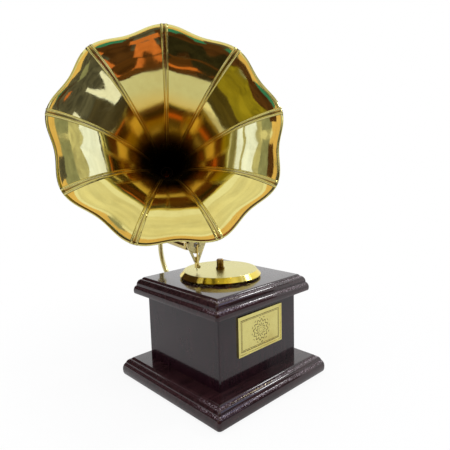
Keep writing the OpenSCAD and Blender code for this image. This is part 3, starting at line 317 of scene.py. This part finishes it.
def petal_factor(x, angle):
    """The petals' radius as a share of the round flare's: round, then flat, then scalloped."""
    turn = (angle - FIRST_RIB) / PETAL_ANGLE
    phi = math.radians(PETAL_ANGLE * (turn - math.floor(turn) - 0.5))
    flat = math.cos(math.radians(PETAL_ANGLE / 2)) / math.cos(phi)
    rim = 1.0 - SCALLOP * (1.0 + math.cos(PETALS * phi)) / 2.0
    to_rim = smooth(SCALLOP_START, SCALLOP_END, x)
    to_flat = smooth(FLAT_START, FLAT_END, x)
    return 1.0 - to_flat * (1.0 - (flat * (1.0 - to_rim) + rim * to_rim))


def sheet_point(x, angle, lift):
    """Point of the bell's sheet in its own frame, lifted outward by lift, in millimetres."""
    x1 = max(x - 0.002, 0.0)
    x2 = min(x + 0.002, 1.0)
    dr = flare_radius(x2) * petal_factor(x2, angle) - flare_radius(x1) * petal_factor(x1, angle)
    dz = flare_depth(x1) - flare_depth(x2)
    length = math.hypot(dr, dz)
    r = flare_radius(x) * petal_factor(x, angle) + lift * dz / length
    a = math.radians(angle)
    z = BEND_TANGENT + NECK + BELL_LENGTH - flare_depth(x) - lift * dr / length
    return Vector((r * math.cos(a), r * math.sin(a), z))


def bell_matrix():
    """From the bell's own frame, in millimetres, to the scene's, in metres."""
    foot = Matrix.Translation((0.0, HORN_Y, 0.0))
    turn = Matrix.Rotation(math.radians(HORN_TURN), 4, "Z")
    rise = Matrix.Translation((0.0, 0.0, ELBOW_FOOT + BEND_TANGENT))
    tilt = Matrix.Rotation(math.radians(90.0 - HORN_TILT), 4, "X")
    return Matrix.Scale(MM, 4) @ foot @ turn @ rise @ tilt


def throat_point(forward):
    """A point on the bell's axis, so many millimetres forward of where the bell begins."""
    return bell_matrix() @ Vector((0.0, 0.0, BEND_TANGENT + NECK + forward))


# Materials

POLISHED = rgb(228, 206, 124)
TARNISHED = rgb(184, 142, 62)


def brass_material(name, clean, tarnish, amount, roughness, turned=None):
    mat = new_material(name)
    n = Nodes(mat.node_tree)
    wear = n.group(brass_wear, Clean=clean, Tarnish=tarnish, Amount=amount, Roughness=roughness)
    normal = wear.outputs["Normal"]
    if turned:
        marks = n.group(turned_marks, Centre=turned)
        normal = n.bump(marks.outputs["Line"], 0.05, 0.0002, normal)
    n.finish(Base_Color=wear.outputs["Color"], Roughness=wear.outputs["Roughness"],
             Metallic=1.0, Normal=normal)
    return mat


def horn_material():
    """Pale lacquered brass that grows amber and duller down the throat, where at last a painted
    shade makes it almost black.
    """
    mat = new_material("horn brass with painted throat shade")
    n = Nodes(mat.node_tree)
    depth = n.add("ShaderNodeAttribute", attribute_name="depth").outputs["Fac"]
    wavy = n.math("MULTIPLY_ADD", n.noise(n.position(), 30.0, 2.0), 0.10, depth)
    amber = n.spread(wavy, 0.50, 0.66, smooth=True)
    # painted shade: deep down the throat the colour is painted almost black and rougher
    dark = n.spread(wavy, 0.72, 1.02, smooth=True)
    wear = n.group(brass_wear, Clean=rgb(230, 220, 140), Tarnish=rgb(204, 182, 96), Amount=0.30,
                   Roughness=0.05)
    groove = n.add("ShaderNodeAttribute", attribute_name="groove").outputs["Fac"]
    colour = n.mix(n.math("MULTIPLY", groove, 0.75), wear.outputs["Color"], rgb(112, 80, 30))
    colour = n.mix(amber, colour, rgb(238, 204, 104))
    colour = n.mix(dark, colour, rgb(34, 18, 10))
    rough = n.math("MULTIPLY_ADD", amber, 0.06, wear.outputs["Roughness"])
    rough = n.math("MULTIPLY_ADD", dark, 0.2, rough)
    rough = n.math("MULTIPLY_ADD", groove, 0.2, rough)
    n.finish(Base_Color=colour, Roughness=rough, Metallic=1.0, Normal=wear.outputs["Normal"])
    return mat


def brass_with_painted_throat_shade(name, forward, reach):
    """Polished brass that, seen down the horn, is painted as dark as the shaded throat round it.

    The painted shade reaches so many metres from a point forward millimetres into the bell."""
    mat = new_material(name)
    n = Nodes(mat.node_tree)
    away = n.add("ShaderNodeVectorMath", operation="DISTANCE")
    n.link(n.position(), away.inputs[0])
    away.inputs[1].default_value = throat_point(forward)
    # painted shade: within reach of that point the brass is painted almost black, duller and not
    # metallic
    painted_shade = n.spread(away.outputs["Value"], reach + 0.001, reach, smooth=True)
    wear = n.group(brass_wear, Clean=POLISHED, Tarnish=TARNISHED, Amount=0.35, Roughness=0.09)
    colour = n.mix(painted_shade, wear.outputs["Color"], rgb(22, 12, 7))
    rough = n.math("MULTIPLY_ADD", painted_shade, 0.4, wear.outputs["Roughness"])
    metal = n.math("SUBTRACT", 1.0, painted_shade)
    n.finish(Base_Color=colour, Roughness=rough, Metallic=metal, Specular_IOR_Level=0.0,
             Normal=wear.outputs["Normal"])
    return mat


# From where to where, in metres along Y, the painted highlight specks along the moulded edges come
# in
GLINT_FRONT_FROM = -0.040
GLINT_FRONT_TO = -0.060


def wood_material(name, grain_scale, grain_turn, dark, light, boards=()):
    """boards are (height, half width) pairs of edges; along them a router left small bumps, and in
    front these are painted pale as a highlight.
    """
    mat = new_material(name)
    n = Nodes(mat.node_tree)
    vector = n.stretched(grain_scale, grain_turn)
    y, z = n.parts(n.position())[1:]
    edge = None
    chatter_and_glints = None
    for height, width in boards:
        away = n.math("ABSOLUTE", n.math("SUBTRACT", z, height))
        line = n.spread(away, width, 0.0, smooth=True)
        tick = n.noise(n.stretched((800.0, 800.0, 900.0)), 1.0, 2.0, 0.6)
        speck = n.math("MULTIPLY", line, n.spread(tick, 0.52, 0.64))
        edge = line if edge is None else n.math("MAXIMUM", edge, line)
        chatter_and_glints = speck if chatter_and_glints is None else n.math("MAXIMUM", chatter_and_glints, speck)
    lacquer = n.group(wood_lacquer, Dark=dark, Light=light, Grain_Vector=vector, Edge=edge)
    colour = lacquer.outputs["Color"]
    normal = lacquer.outputs["Normal"]
    if chatter_and_glints is not None:
        # painted highlight: on the front side the bumpy specks along the edges are painted pale,
        # as glints of light
        front = n.spread(y, GLINT_FRONT_FROM, GLINT_FRONT_TO)
        painted_glints = n.math("MULTIPLY", chatter_and_glints, front)
        colour = n.mix(n.math("MULTIPLY", painted_glints, 0.65), colour, rgb(186, 172, 182))
        normal = n.bump(chatter_and_glints, 0.5, 0.0004, normal)
    n.finish(Base_Color=colour, Roughness=lacquer.outputs["Roughness"], Coat_Weight=1.0,
             Coat_Roughness=0.06, Specular_IOR_Level=0.08, Normal=normal)
    return mat


def steel_material(name, colour, roughness, grain_scale):
    mat = new_material(name)
    n = Nodes(mat.node_tree)
    brushed = n.noise(n.stretched(grain_scale), 1.0, 3.0, 0.6)
    cloud = n.noise(n.position(), 60.0, 3.0, 0.6)
    tint = n.mix(n.spread(cloud, 0.4, 0.75), colour, tuple(c * 0.72 for c in colour[:3]) + (1.0,))
    rough = n.math("ADD", n.spread(brushed, 0.3, 0.75, -0.05, 0.08), roughness)
    n.finish(Base_Color=tint, Roughness=rough, Metallic=1.0, Normal=n.bump(brushed, 0.08, 0.0002))
    return mat


def felt_material():
    mat = new_material("green felt")
    n = Nodes(mat.node_tree)
    fibres = n.noise(n.position(), 1400.0, 3.0, 0.7, 0.6)
    cloud = n.noise(n.position(), 60.0, 2.0)
    colour = n.mix(n.spread(fibres, 0.3, 0.7), rgb(34, 52, 34), rgb(70, 92, 62))
    colour = n.mix(n.spread(cloud, 0.5, 0.8, 0.0, 0.4), colour, rgb(50, 60, 44))
    n.finish(Base_Color=colour, Roughness=0.95, Normal=n.bump(fibres, 0.6, 0.0006))
    return mat


# The plaque's engraving: a count of lobes, then lengths in metres
ROSETTE_LOBES = 12.0
ROSETTE_WAVE = 0.0011
ROSETTE_PITCH = 0.0041
BORDER_HALF_WIDTH = 0.0265
BORDER_HALF_HEIGHT = 0.0150
BORDER_GAP = 0.0012


def plaque_material():
    """Bright rolled plate with an engine-turned rosette inside two engraved lines."""
    mat = new_material("plaque brass")
    n = Nodes(mat.node_tree)
    x, _, z = n.parts(n.position())
    low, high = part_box("plaque")
    middle = (low + high) / 2
    u = n.math("SUBTRACT", x, middle.x)
    v = n.math("SUBTRACT", z, middle.z)
    radius = n.length(u, v)
    angle = n.math("ARCTAN2", v, u)
    petal = n.math("SINE", n.math("MULTIPLY", angle, ROSETTE_LOBES))
    wave = n.math("MULTIPLY_ADD", petal, ROSETTE_WAVE, radius)
    rings = n.math("SINE", n.math("MULTIPLY", wave, math.tau / ROSETTE_PITCH))
    line = n.spread(rings, 0.55, 0.85)
    inside = n.spread(radius, 0.0128, 0.0122)
    hub = n.spread(radius, 0.0016, 0.0022)
    rosette = n.math("MULTIPLY", n.math("MULTIPLY", line, inside), hub)
    across = n.math("SUBTRACT", n.math("ABSOLUTE", u), BORDER_HALF_WIDTH)
    upward = n.math("SUBTRACT", n.math("ABSOLUTE", v), BORDER_HALF_HEIGHT)
    past = n.math("MAXIMUM", across, upward)
    border = n.spread(n.math("ABSOLUTE", past), 0.00045, 0.0002)
    second = n.math("ABSOLUTE", n.math("ADD", past, BORDER_GAP))
    border = n.math("MAXIMUM", border, n.spread(second, 0.0003, 0.00015))
    cut = n.math("MAXIMUM", rosette, border)
    wear = n.group(brass_wear, Clean=rgb(242, 230, 146), Tarnish=rgb(202, 174, 88),
                   Amount=0.45, Roughness=0.2)
    colour = n.mix(n.math("MULTIPLY", cut, 0.72), wear.outputs["Color"], rgb(84, 62, 26))
    normal = n.bump(n.math("MULTIPLY", cut, -1.0), 0.5, 0.0004, wear.outputs["Normal"])
    n.finish(Base_Color=colour, Roughness=wear.outputs["Roughness"], Metallic=1.0, Normal=normal)
    return mat


def turntable_material():
    """Satin lathe-turned top and a brightly polished bevel."""
    mat = new_material("turntable brass")
    n = Nodes(mat.node_tree)
    z = n.parts(n.position())[2]
    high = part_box("turntable_disc")[1]
    on_top = n.spread(z, high.z - 0.0004, high.z - 0.0001)
    wear = n.group(brass_wear, Clean=rgb(246, 222, 104), Tarnish=rgb(208, 168, 60),
                   Amount=0.35, Roughness=0.07)
    marks = n.group(turned_marks, Pitch=0.00045)
    lines = n.spread(marks.outputs["Line"], -1.0, 1.0, 0.0, 0.2)
    satin = n.mix(lines, rgb(222, 213, 134), rgb(200, 188, 108))
    colour = n.mix(on_top, wear.outputs["Color"], satin)
    rough = n.math("MULTIPLY_ADD", on_top, 0.2, wear.outputs["Roughness"])
    normal = n.bump(marks.outputs["Line"], 0.08, 0.0002, wear.outputs["Normal"])
    n.finish(Base_Color=colour, Roughness=rough, Metallic=1.0, Normal=normal)
    return mat


horn_brass = horn_material()
ferrule_brass_painted_shade = brass_with_painted_throat_shade("ferrule brass with painted throat shade", 0.0, 0.0080)
elbow_brass_painted_shade = brass_with_painted_throat_shade("elbow brass with painted throat shade", 5.0, 0.0092)
polished_brass = brass_material("polished brass", POLISHED, TARNISHED, 0.35, 0.09)
pale_brass = brass_material("pale satin brass", rgb(244, 234, 172), rgb(206, 186, 112), 0.3,
                            0.32)
motor_brass = brass_material("motor brass", rgb(206, 176, 98), rgb(150, 112, 52), 0.5, 0.24,
                             (0.0, 0.0, 0.0))
spindle_brass = brass_material("darkened brass", rgb(150, 118, 56), rgb(88, 62, 28), 0.6, 0.16)
# Height and half width, in metres, of the moulded edges that catch the light
case_boards = [(0.0125, 0.0018), (0.0172, 0.0012), (0.0966, 0.0018), (0.1042, 0.0014)]
lid_and_plinth = wood_material("lacquered boards with painted edge glints", (3.0, 34.0, 34.0), (0.0, 0.0, 0.0),
                               rgb(28, 13, 16), rgb(49, 27, 30), case_boards)
wall_wood = wood_material("lacquered walls", (40.0, 40.0, 5.0), (0.0, 0.0, 0.0),
                          rgb(20, 6, 13), rgb(36, 15, 21))
panel_wood = wood_material("sealed panel", (4.0, 40.0, 40.0), (0.0, 0.0, 0.3),
                           rgb(92, 64, 44), rgb(128, 94, 66))
knob_wood = wood_material("knob wood", (8.0, 50.0, 50.0), (0.0, 0.0, 0.0),
                          rgb(50, 26, 20), rgb(86, 46, 34))
steel = steel_material("turned steel", (0.56, 0.56, 0.57, 1.0), 0.22, (60.0, 60.0, 1500.0))
spring_steel = steel_material("blued spring steel", (0.10, 0.12, 0.19, 1.0), 0.25,
                              (300.0, 300.0, 1200.0))
diaphragm_metal = steel_material("diaphragm sheet", (0.62, 0.62, 0.60, 1.0), 0.32,
                                 (500.0, 500.0, 500.0))
felt = felt_material()
plaque_brass = plaque_material()
turntable_brass = turntable_material()

FINISHES = {
    "green_felt": felt,
    "lacquered_wood": lid_and_plinth,
    "plain_wood": panel_wood,
    "brass_screws": polished_brass,
    "plaque_brass": plaque_brass,
    "polished_brass": polished_brass,
    "motor_brass": motor_brass,
    "steel": steel,
    "spring_steel": spring_steel,
    "turntable_brass": turntable_brass,
    "spindle_brass": spindle_brass,
    "knob_wood": knob_wood,
    "diaphragm_metal": diaphragm_metal,
    "horn_brass": horn_brass,
}

for part in frame["record"]["subparts"]:
    obj = nodes[part["node"]]
    obj.data.materials.clear()
    obj.data.materials.append(FINISHES[part["material_slot"]])
for name in ("body_front", "body_back", "body_left", "body_right"):
    nodes[name].data.materials[0] = wall_wood
for name in ("bracket_tube", "stylus_fork"):
    nodes[name].data.materials[0] = pale_brass
# elbow and ferrule take brass with a painted shade where they are seen down the horn
nodes["horn_elbow"].data.materials[0] = elbow_brass_painted_shade
nodes["throat_ferrule"].data.materials[0] = ferrule_brass_painted_shade


# The horn's pieces

def finish_mesh(name, bm, mat, body, *stands_for):
    """A smooth-shaded piece that rides body in place of the CAD nodes it stands for."""
    mesh = bpy.data.meshes.new(name)
    bm.to_mesh(mesh)
    bm.free()
    for face in mesh.polygons:
        face.use_smooth = True
    mesh.materials.append(mat)
    obj = bpy.data.objects.new(name, mesh)
    bpy.context.scene.collection.objects.link(obj)
    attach(obj, body)
    if stands_for:
        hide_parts(*stands_for)
    return obj


def shaped_grid(columns, rows, place, inside, grooved=False):
    """A flat grid whose points are moved by place(u, v), both from 0 to 1.

    Its attributes tell the brass how far down the horn's inside a point lies, and where a
    strip has a groove."""
    bm = bmesh.new()
    bmesh.ops.create_grid(bm, x_segments=columns, y_segments=rows, size=0.5)
    depth = bm.verts.layers.float.new("depth")
    groove = bm.verts.layers.float.new("groove")
    for vert in bm.verts:
        v = vert.co.y + 0.5
        vert[groove] = seam_groove(vert.co.x + 0.5) if grooved else 0.0
        # the outer shell's edge at the throat takes a depth too, so the painted throat shade
        # darkens it as well
        hidden = v < THROAT_EDGE and not grooved
        vert[depth] = 1.0 - v ** ROW_SPACING if inside or hidden else 0.0
        vert.co = place(vert.co.x + 0.5, v)
    return bm


def petal(k):
    start = FIRST_RIB + PETAL_ANGLE * k

    def place(u, v):
        return sheet_point(v ** ROW_SPACING, start + PETAL_ANGLE * u, 0.0)

    def place_outer(u, v):
        return sheet_point(v ** ROW_SPACING, start + PETAL_ANGLE * u, SHEET)

    bm = shaped_grid(PETAL_COLUMNS, ROWS, place, True)
    join_shells(bm, shaped_grid(PETAL_COLUMNS, ROWS, place_outer, False))
    bm.transform(bell_matrix())
    return finish_mesh("petal_%d" % (k + 1), bm, horn_brass, "horn", "horn_petal_%d" % (k + 1))


def join_shells(bm, other):
    """Closes two grids of the same layout into one thin solid."""
    mesh = bpy.data.meshes.new("shell")
    other.to_mesh(mesh)
    other.free()
    bm.from_mesh(mesh)
    bpy.data.meshes.remove(mesh)
    rims = [edge for edge in bm.edges if edge.is_boundary]
    bmesh.ops.bridge_loops(bm, edges=rims)
    bmesh.ops.recalc_face_normals(bm, faces=bm.faces)


def seam_groove(u):
    """1 in the valley and along both edges of a strip, where polish collects, 0 on the beads."""
    t = abs(2.0 * u - 1.0)
    return max(1.0 - smooth(0.05, 0.35, t), smooth(0.84, 0.97, t))


def seam_height(u):
    """Profile across a seam strip: two rounded beads with a shallow valley between."""
    t = abs(2.0 * u - 1.0)
    bead = math.exp(-((t - 0.62) / 0.20) ** 2)
    valley = 0.35 * (1.0 - smooth(0.2, 0.6, t))
    edge = 1.0 - smooth(0.80, 1.0, t)
    return BEAD * max(bead, valley) * edge


def seam(k, side):
    """The strip along rib k, inside the horn where side is -1 and outside where it is 1."""
    middle = FIRST_RIB + PETAL_ANGLE * k
    skin = SHEET if side > 0 else 0.0

    def place(u, v, base=False):
        x = SEAM_START + (1.0 - SEAM_START) * v ** ROW_SPACING
        width = SEAM_THROAT_WIDTH + (SEAM_WIDTH - SEAM_THROAT_WIDTH) * x
        swing = math.degrees((2.0 * u - 1.0) * width / 2.0 / flare_radius(x))
        height = SEAM_UNDERSIDE if base else SEAM_LIFT + seam_height(u)
        return sheet_point(x, middle + swing, skin + side * height)

    inside = side < 0
    bm = shaped_grid(SEAM_COLUMNS, ROWS, place, inside, True)
    underside = shaped_grid(SEAM_COLUMNS, ROWS, lambda u, v: place(u, v, True), inside, True)
    join_shells(bm, underside)
    bm.transform(bell_matrix())
    return bm


def all_seams():
    bm = bmesh.new()
    for k in range(PETALS):
        for side in (-1, 1):
            one = seam(k, side)
            mesh = bpy.data.meshes.new("strip")
            one.to_mesh(mesh)
            one.free()
            bm.from_mesh(mesh)
            bpy.data.meshes.remove(mesh)
    return finish_mesh("seam_strips", bm, horn_brass, "horn", "horn_seams")


for k in range(PETALS):
    petal(k)
all_seams()


# The case's moulded boards

# Sections of the moulded edges, from the underside up: how far in from the widest line, and
# the height above the board's underside, in millimetres
PLINTH_WIDTH = 153.0
PLINTH_FOOT = 1.0
PLINTH_EDGE = (
    (1.8, 0.0), (0.8, 0.7), (0.2, 2.4), (0.0, 4.6), (0.05, 6.6), (0.4, 8.6), (1.1, 10.3),
    (2.0, 11.6), (2.7, 12.1), (2.75, 12.6), (3.2, 13.7), (4.1, 14.9), (5.3, 15.7), (6.7, 16.1),
    (7.4, 16.2), (7.6, 16.8), (8.4, 17.6), (9.4, 18.0),
)
PLINTH_WELL = ((34.5, 18.0), (34.5, 3.0), (28.5, 3.0), (28.5, 0.0))
LID_WIDTH = 130.0
LID_FOOT = 89.0
LID_EDGE = (
    (1.4, 0.0), (0.5, 0.5), (0.1, 1.6), (0.0, 3.0), (0.1, 4.6), (0.5, 6.2), (1.2, 7.5),
    (2.0, 8.3), (2.5, 8.5), (2.55, 9.2), (2.7, 10.6), (3.2, 12.2), (4.2, 13.8), (5.6, 14.8),
    (6.6, 15.1), (7.1, 15.2), (7.3, 15.8), (8.1, 16.6), (9.2, 17.0),
)
CORNER_RADIUS = 3.2
CORNER_STEPS = 8
SHARP_ANGLE = math.radians(28.0)


def rounded_square(bm, half, radius, height):
    """A ring of points round a square, corner by corner."""
    ring = []
    for corner in range(4):
        middle = Matrix.Rotation(math.radians(90.0 * corner), 3, "Z") @ Vector(
            (half - radius, half - radius, 0.0))
        for step in range(CORNER_STEPS + 1):
            a = math.radians(90.0 * (corner + step / CORNER_STEPS))
            point = middle + radius * Vector((math.cos(a), math.sin(a), 0.0))
            ring.append(bm.verts.new((point.x, point.y, height)))
    return ring


def join_rings(bm, lower, upper):
    """A band of faces between two rings with as many points."""
    count = len(lower)
    for i in range(count):
        j = (i + 1) % count
        bm.faces.new((lower[i], lower[j], upper[j], upper[i]))


def board(name, node, width, foot, section, bore):
    """A square board with a moulded edge; bore lists the rings of the opening through it."""
    bm = bmesh.new()
    rings = []
    for inset, height in section:
        radius = max(CORNER_RADIUS - 0.25 * inset, 0.6)
        rings.append(rounded_square(bm, width / 2 - inset, radius, foot + height))
    for half, radius, height in bore:
        rings.append(rounded_square(bm, half, radius, foot + height))
    for k, ring in enumerate(rings):
        join_rings(bm, ring, rings[(k + 1) % len(rings)])
    bm.transform(Matrix.Scale(MM, 4))
    bmesh.ops.recalc_face_normals(bm, faces=bm.faces)
    bm.normal_update()
    for edge in bm.edges:
        level = [abs(face.normal.z) > 0.999 for face in edge.link_faces]
        edge.smooth = edge.calc_face_angle(0.0) < SHARP_ANGLE and level[0] == level[1]
    piece = finish_mesh(name, bm, lid_and_plinth, "case", node)


WELL = [(PLINTH_WIDTH / 2 - inset, 0.3, height) for inset, height in PLINTH_WELL]
board("moulded_plinth", "plinth", PLINTH_WIDTH, PLINTH_FOOT, PLINTH_EDGE, WELL)
BUSHING_HOLE = 4.5
LID_BORE = [(BUSHING_HOLE, BUSHING_HOLE, height) for height in (LID_EDGE[-1][1], 0.0)]
board("moulded_lid", "lid", LID_WIDTH, LID_FOOT, LID_EDGE, LID_BORE)


# Room and light

WALL_BROWN = rgb(98, 64, 42)
CORNER_DARK = rgb(54, 50, 38)
BLIND_GREY = rgb(108, 106, 112)
CURTAIN_ORANGE = rgb(238, 136, 84)
BEAM_GREY = rgb(164, 168, 160)
WINDOW_WHITE = (1.18, 1.3, 2.2, 1.0)
HORN_MIDDLE = (-0.05, -0.03, 0.24)
WALL_DISTANCE = 2.0

# What stands in the room in front of the horn, as its petals mirror it: name, azimuth,
# elevation, width and height in degrees, how much nearer than the wall in metres, how much
# darker its shaded patches are, its colour and, for a slanted one, its turn in degrees
ROOM = (
    ("room wall", -32.0, 13.5, 44.0, 47.0, 0.0, 0.55, WALL_BROWN),
    ("left room wall", -3.0, 12.0, 16.0, 44.0, 0.0, 0.55, WALL_BROWN),
    ("right room wall", -75.5, 11.0, 43.0, 42.0, 0.0, 0.55, WALL_BROWN),
    ("room floor", -38.0, -9.0, 100.0, 22.0, 1.28, 0.55, rgb(104, 66, 38)),
    ("dark corner", -43.0, 9.0, 15.0, 27.0, 0.05, 0.5, CORNER_DARK),
    ("dark corner foot", -43.0, -9.0, 15.0, 18.0, 1.30, 0.5, CORNER_DARK),
    ("grey window blind", -11.0, 22.0, 22.0, 24.0, 0.06, 0.6, BLIND_GREY),
    ("upper grey blind", -20.0, 38.0, 15.0, 7.0, 0.14, 0.6, BLIND_GREY),
    ("low grey blind", 8.0, 20.0, 20.0, 28.0, 0.06, 0.6, BLIND_GREY),
    ("left cupboard", 29.0, 6.0, 40.0, 38.0, 0.05, 0.6, rgb(84, 76, 70)),
    ("slanted pane", 19.5, 12.8, 38.0, 3.4, 0.14, 0.1, (1.1, 1.15, 1.7, 1.0), -32.0),
    ("orange curtain", -15.2, 10.0, 7.2, 22.0, 0.08, 0.3, CURTAIN_ORANGE),
    ("orange curtain top", -20.5, 24.0, 8.0, 7.5, 0.08, 0.3, CURTAIN_ORANGE),
    ("orange curtain foot", -14.2, -4.5, 4.6, 13.0, 1.34, 0.3, CURTAIN_ORANGE),
    ("teal cushion", -35.2, 33.6, 7.6, 8.0, 0.14, 0.3, rgb(64, 150, 154)),
    ("orange shelf", -53.0, -10.0, 10.0, 3.0, 1.34, 0.3, rgb(236, 132, 70)),
    ("olive blind", -76.0, 18.0, 36.0, 34.0, 0.07, 0.5, rgb(172, 156, 50)),
    ("brown dresser", -94.5, 6.0, 17.0, 30.0, 0.05, 0.5, rgb(96, 82, 44)),
    ("lit ceiling edge", -28.0, 45.5, 36.0, 16.0, 0.12, 0.2, rgb(255, 214, 156)),
    ("grey beam left", -2.0, 43.0, 20.0, 18.0, 0.13, 0.3, BEAM_GREY),
    ("brown beam right", -51.5, 41.0, 13.0, 12.0, 0.13, 0.4, WALL_BROWN),
    ("grey beam right", -66.0, 42.0, 15.0, 18.0, 0.13, 0.3, BEAM_GREY),
    ("soft ceiling", -30.0, 76.0, 70.0, 36.0, 0.30, 0.22, rgb(255, 250, 236)),
    ("pale left wall", 36.0, 48.0, 50.0, 24.0, 0.05, 0.45, rgb(226, 222, 206)),
    ("pale right wall", -102.0, 46.0, 62.0, 30.0, 0.05, 0.4, rgb(228, 224, 206)),
    ("dark back wall", -150.0, 24.0, 76.0, 54.0, 0.05, 0.5, rgb(74, 58, 50)),
    ("left window", 45.0, 38.5, 22.0, 14.0, 0.14, 0.2, WINDOW_WHITE),
    ("right window", -103.0, 42.0, 24.0, 14.0, 0.14, 0.2, WINDOW_WHITE),
    ("right window bar", -108.0, 40.0, 3.0, 30.0, 0.18, 0.3, rgb(200, 194, 160)),
    ("left door frame", 61.0, 34.0, 4.0, 30.0, 0.10, 0.4, rgb(96, 92, 88)),
    ("right rail", -122.0, 38.0, 5.0, 40.0, 0.10, 0.4, rgb(150, 142, 110)),
)


def add_square(name, size, mat):
    """A flat square round the origin, from -size to size."""
    bm = bmesh.new()
    bmesh.ops.create_grid(bm, x_segments=1, y_segments=1, size=size)
    mesh = bpy.data.meshes.new(name)
    bm.to_mesh(mesh)
    bm.free()
    mesh.materials.append(mat)
    square = bpy.data.objects.new(name, mesh)
    bpy.context.scene.collection.objects.link(square)
    return square


def add_floor():
    """A pale floor that takes the shadow and fades into the white background."""
    mat = new_material("pale floor")
    n = Nodes(mat.node_tree)
    path = n.add("ShaderNodeLightPath")
    shader = n.add("ShaderNodeBsdfDiffuse")
    shader.inputs["Color"].default_value = (0.84, 0.84, 0.84, 1.0)
    glow = n.add("ShaderNodeEmission")
    mix = n.add("ShaderNodeMixShader")
    mirrored = n.math("MAXIMUM", path.outputs["Is Glossy Ray"],
                      path.outputs["Is Transmission Ray"])
    x, y = n.parts(n.position())[:2]
    whiter = n.spread(n.length(x, y), 0.12, 0.45, 0.88, 1.0, smooth=True)
    share = n.math("MAXIMUM", n.math("MULTIPLY", mirrored, 0.6),
                   n.math("MULTIPLY", path.outputs["Is Camera Ray"], whiter))
    n.link(n.mix(mirrored, (1.0, 1.0, 1.0, 1.0), (0.5, 0.5, 0.5, 1.0)), glow.inputs["Color"])
    n.link(share, mix.inputs["Fac"])
    n.link(shader.outputs["BSDF"], mix.inputs[1])
    n.link(glow.outputs["Emission"], mix.inputs[2])
    output = n.add("ShaderNodeOutputMaterial")
    n.link(mix.outputs["Shader"], output.inputs["Surface"])
    floor = add_square("floor", 3.0, mat)
    floor.location = (0.0, 0.0, -0.0002)


def add_world():
    """White where it is seen or mirrored, a little dimmer as light."""
    world = bpy.data.worlds.new("studio")
    bpy.context.scene.world = world
    world.use_nodes = True
    world.node_tree.nodes.clear()
    n = Nodes(world.node_tree)
    path = n.add("ShaderNodeLightPath")
    seen = n.math("MAXIMUM", path.outputs["Is Camera Ray"], path.outputs["Is Transmission Ray"])
    seen = n.math("MAXIMUM", seen, path.outputs["Is Glossy Ray"])
    colour = n.mix(seen, (0.78, 0.79, 0.82, 1.0), (1.0, 1.0, 1.0, 1.0))
    background = n.add("ShaderNodeBackground")
    n.link(colour, background.inputs["Color"])
    output = n.add("ShaderNodeOutputWorld")
    n.link(background.outputs["Background"], output.inputs["Surface"])


def add_area(name, location, target, size, power, colour):
    light = bpy.data.lights.new(name, "AREA")
    light.shape = "DISK"
    light.size = size
    light.energy = power
    light.color = colour
    obj = bpy.data.objects.new(name, light)
    obj.location = location
    direction = Vector(target) - Vector(location)
    obj.rotation_euler = direction.to_track_quat("-Z", "Y").to_euler()
    bpy.context.scene.collection.objects.link(obj)
    return obj


def add_card(name, azimuth, elevation, width, height, nearness, shade, colour, slant=0.0):
    """A plain glowing panel out of the camera's sight that the polished brass mirrors.

    azimuth is 0 in front of the plaque and grows to the right, all angles in degrees."""
    mat = new_material(name + " paper")
    n = Nodes(mat.node_tree)
    glow = n.add("ShaderNodeEmission")
    patches = n.noise(n.position(), 3.0, 3.0, 0.6, 0.8)
    darker = tuple(part * (1.0 - shade) for part in colour[:3]) + (1.0,)
    n.link(n.mix(n.spread(patches, 0.35, 0.65), darker, colour), glow.inputs["Color"])
    output = n.add("ShaderNodeOutputMaterial")
    n.link(glow.outputs["Emission"], output.inputs["Surface"])
    distance = WALL_DISTANCE - nearness
    a = math.radians(azimuth)
    e = math.radians(elevation)
    away = Vector((math.sin(a) * math.cos(e), -math.cos(a) * math.cos(e), math.sin(e)))
    card = add_square(name, 0.5, mat)
    card.location = Vector(HORN_MIDDLE) + away * distance
    facing = away.to_track_quat("Z", "Y")
    card.rotation_euler = (facing @ Quaternion((0.0, 0.0, 1.0), math.radians(slant))).to_euler()
    across = 2.0 * distance * math.tan(math.radians(width / 2))
    upward = 2.0 * distance * math.tan(math.radians(height / 2))
    card.scale = (across, upward, 1.0)
    card.visible_camera = False
    card.visible_diffuse = False
    card.visible_shadow = False
    card.visible_transmission = False


CAMERA_PLACE = (-0.2936, -0.3191, 0.2177)
CAMERA_YAW = -43.42
CAMERA_PITCH = 7.80
CAMERA_ROLL = -1.54
CAMERA_LENS = 34.57


def add_camera():
    """The photograph's viewpoint, solved from the square corners of the case."""
    yaw = math.radians(CAMERA_YAW)
    pitch = math.radians(CAMERA_PITCH)
    roll = math.radians(CAMERA_ROLL)
    forward = Vector((-math.sin(yaw) * math.cos(pitch), math.cos(yaw) * math.cos(pitch),
                      -math.sin(pitch)))
    right = Vector((math.cos(yaw), math.sin(yaw), 0.0))
    up = right.cross(forward)
    turned_right = math.cos(roll) * right + math.sin(roll) * up
    turned_up = -math.sin(roll) * right + math.cos(roll) * up
    matrix = Matrix.Identity(4)
    for i in range(3):
        matrix[i][0] = turned_right[i]
        matrix[i][1] = turned_up[i]
        matrix[i][2] = -forward[i]
    matrix.translation = CAMERA_PLACE
    data = bpy.data.cameras.new("photo camera")
    data.sensor_width = 36.0
    data.lens = CAMERA_LENS
    data.clip_start = 0.01
    data.clip_end = 20.0
    camera = bpy.data.objects.new("photo camera", data)
    camera.matrix_world = matrix
    bpy.context.scene.collection.objects.link(camera)
    bpy.context.scene.camera = camera


add_floor()
add_world()
soft_key = add_area("key light", (-0.3, -0.9, 1.3), (0.0, 0.0, 0.15), 0.9, 8.0, (1.0, 0.98, 0.95))
soft_key.visible_glossy = False
soft_fill = add_area("fill light", (-1.2, 0.1, 0.7), (0.0, 0.0, 0.15), 0.8, 3.0, (0.92, 0.95, 1.0))
soft_fill.visible_glossy = False
add_area("edge light", (0.85, -0.37, 0.95), (0.0, 0.0, 0.08), 0.2, 2.2, (1.0, 1.0, 1.0))
for card in ROOM:
    add_card(*card)
add_camera()

scene = bpy.context.scene
scene.view_settings.view_transform = "Standard"
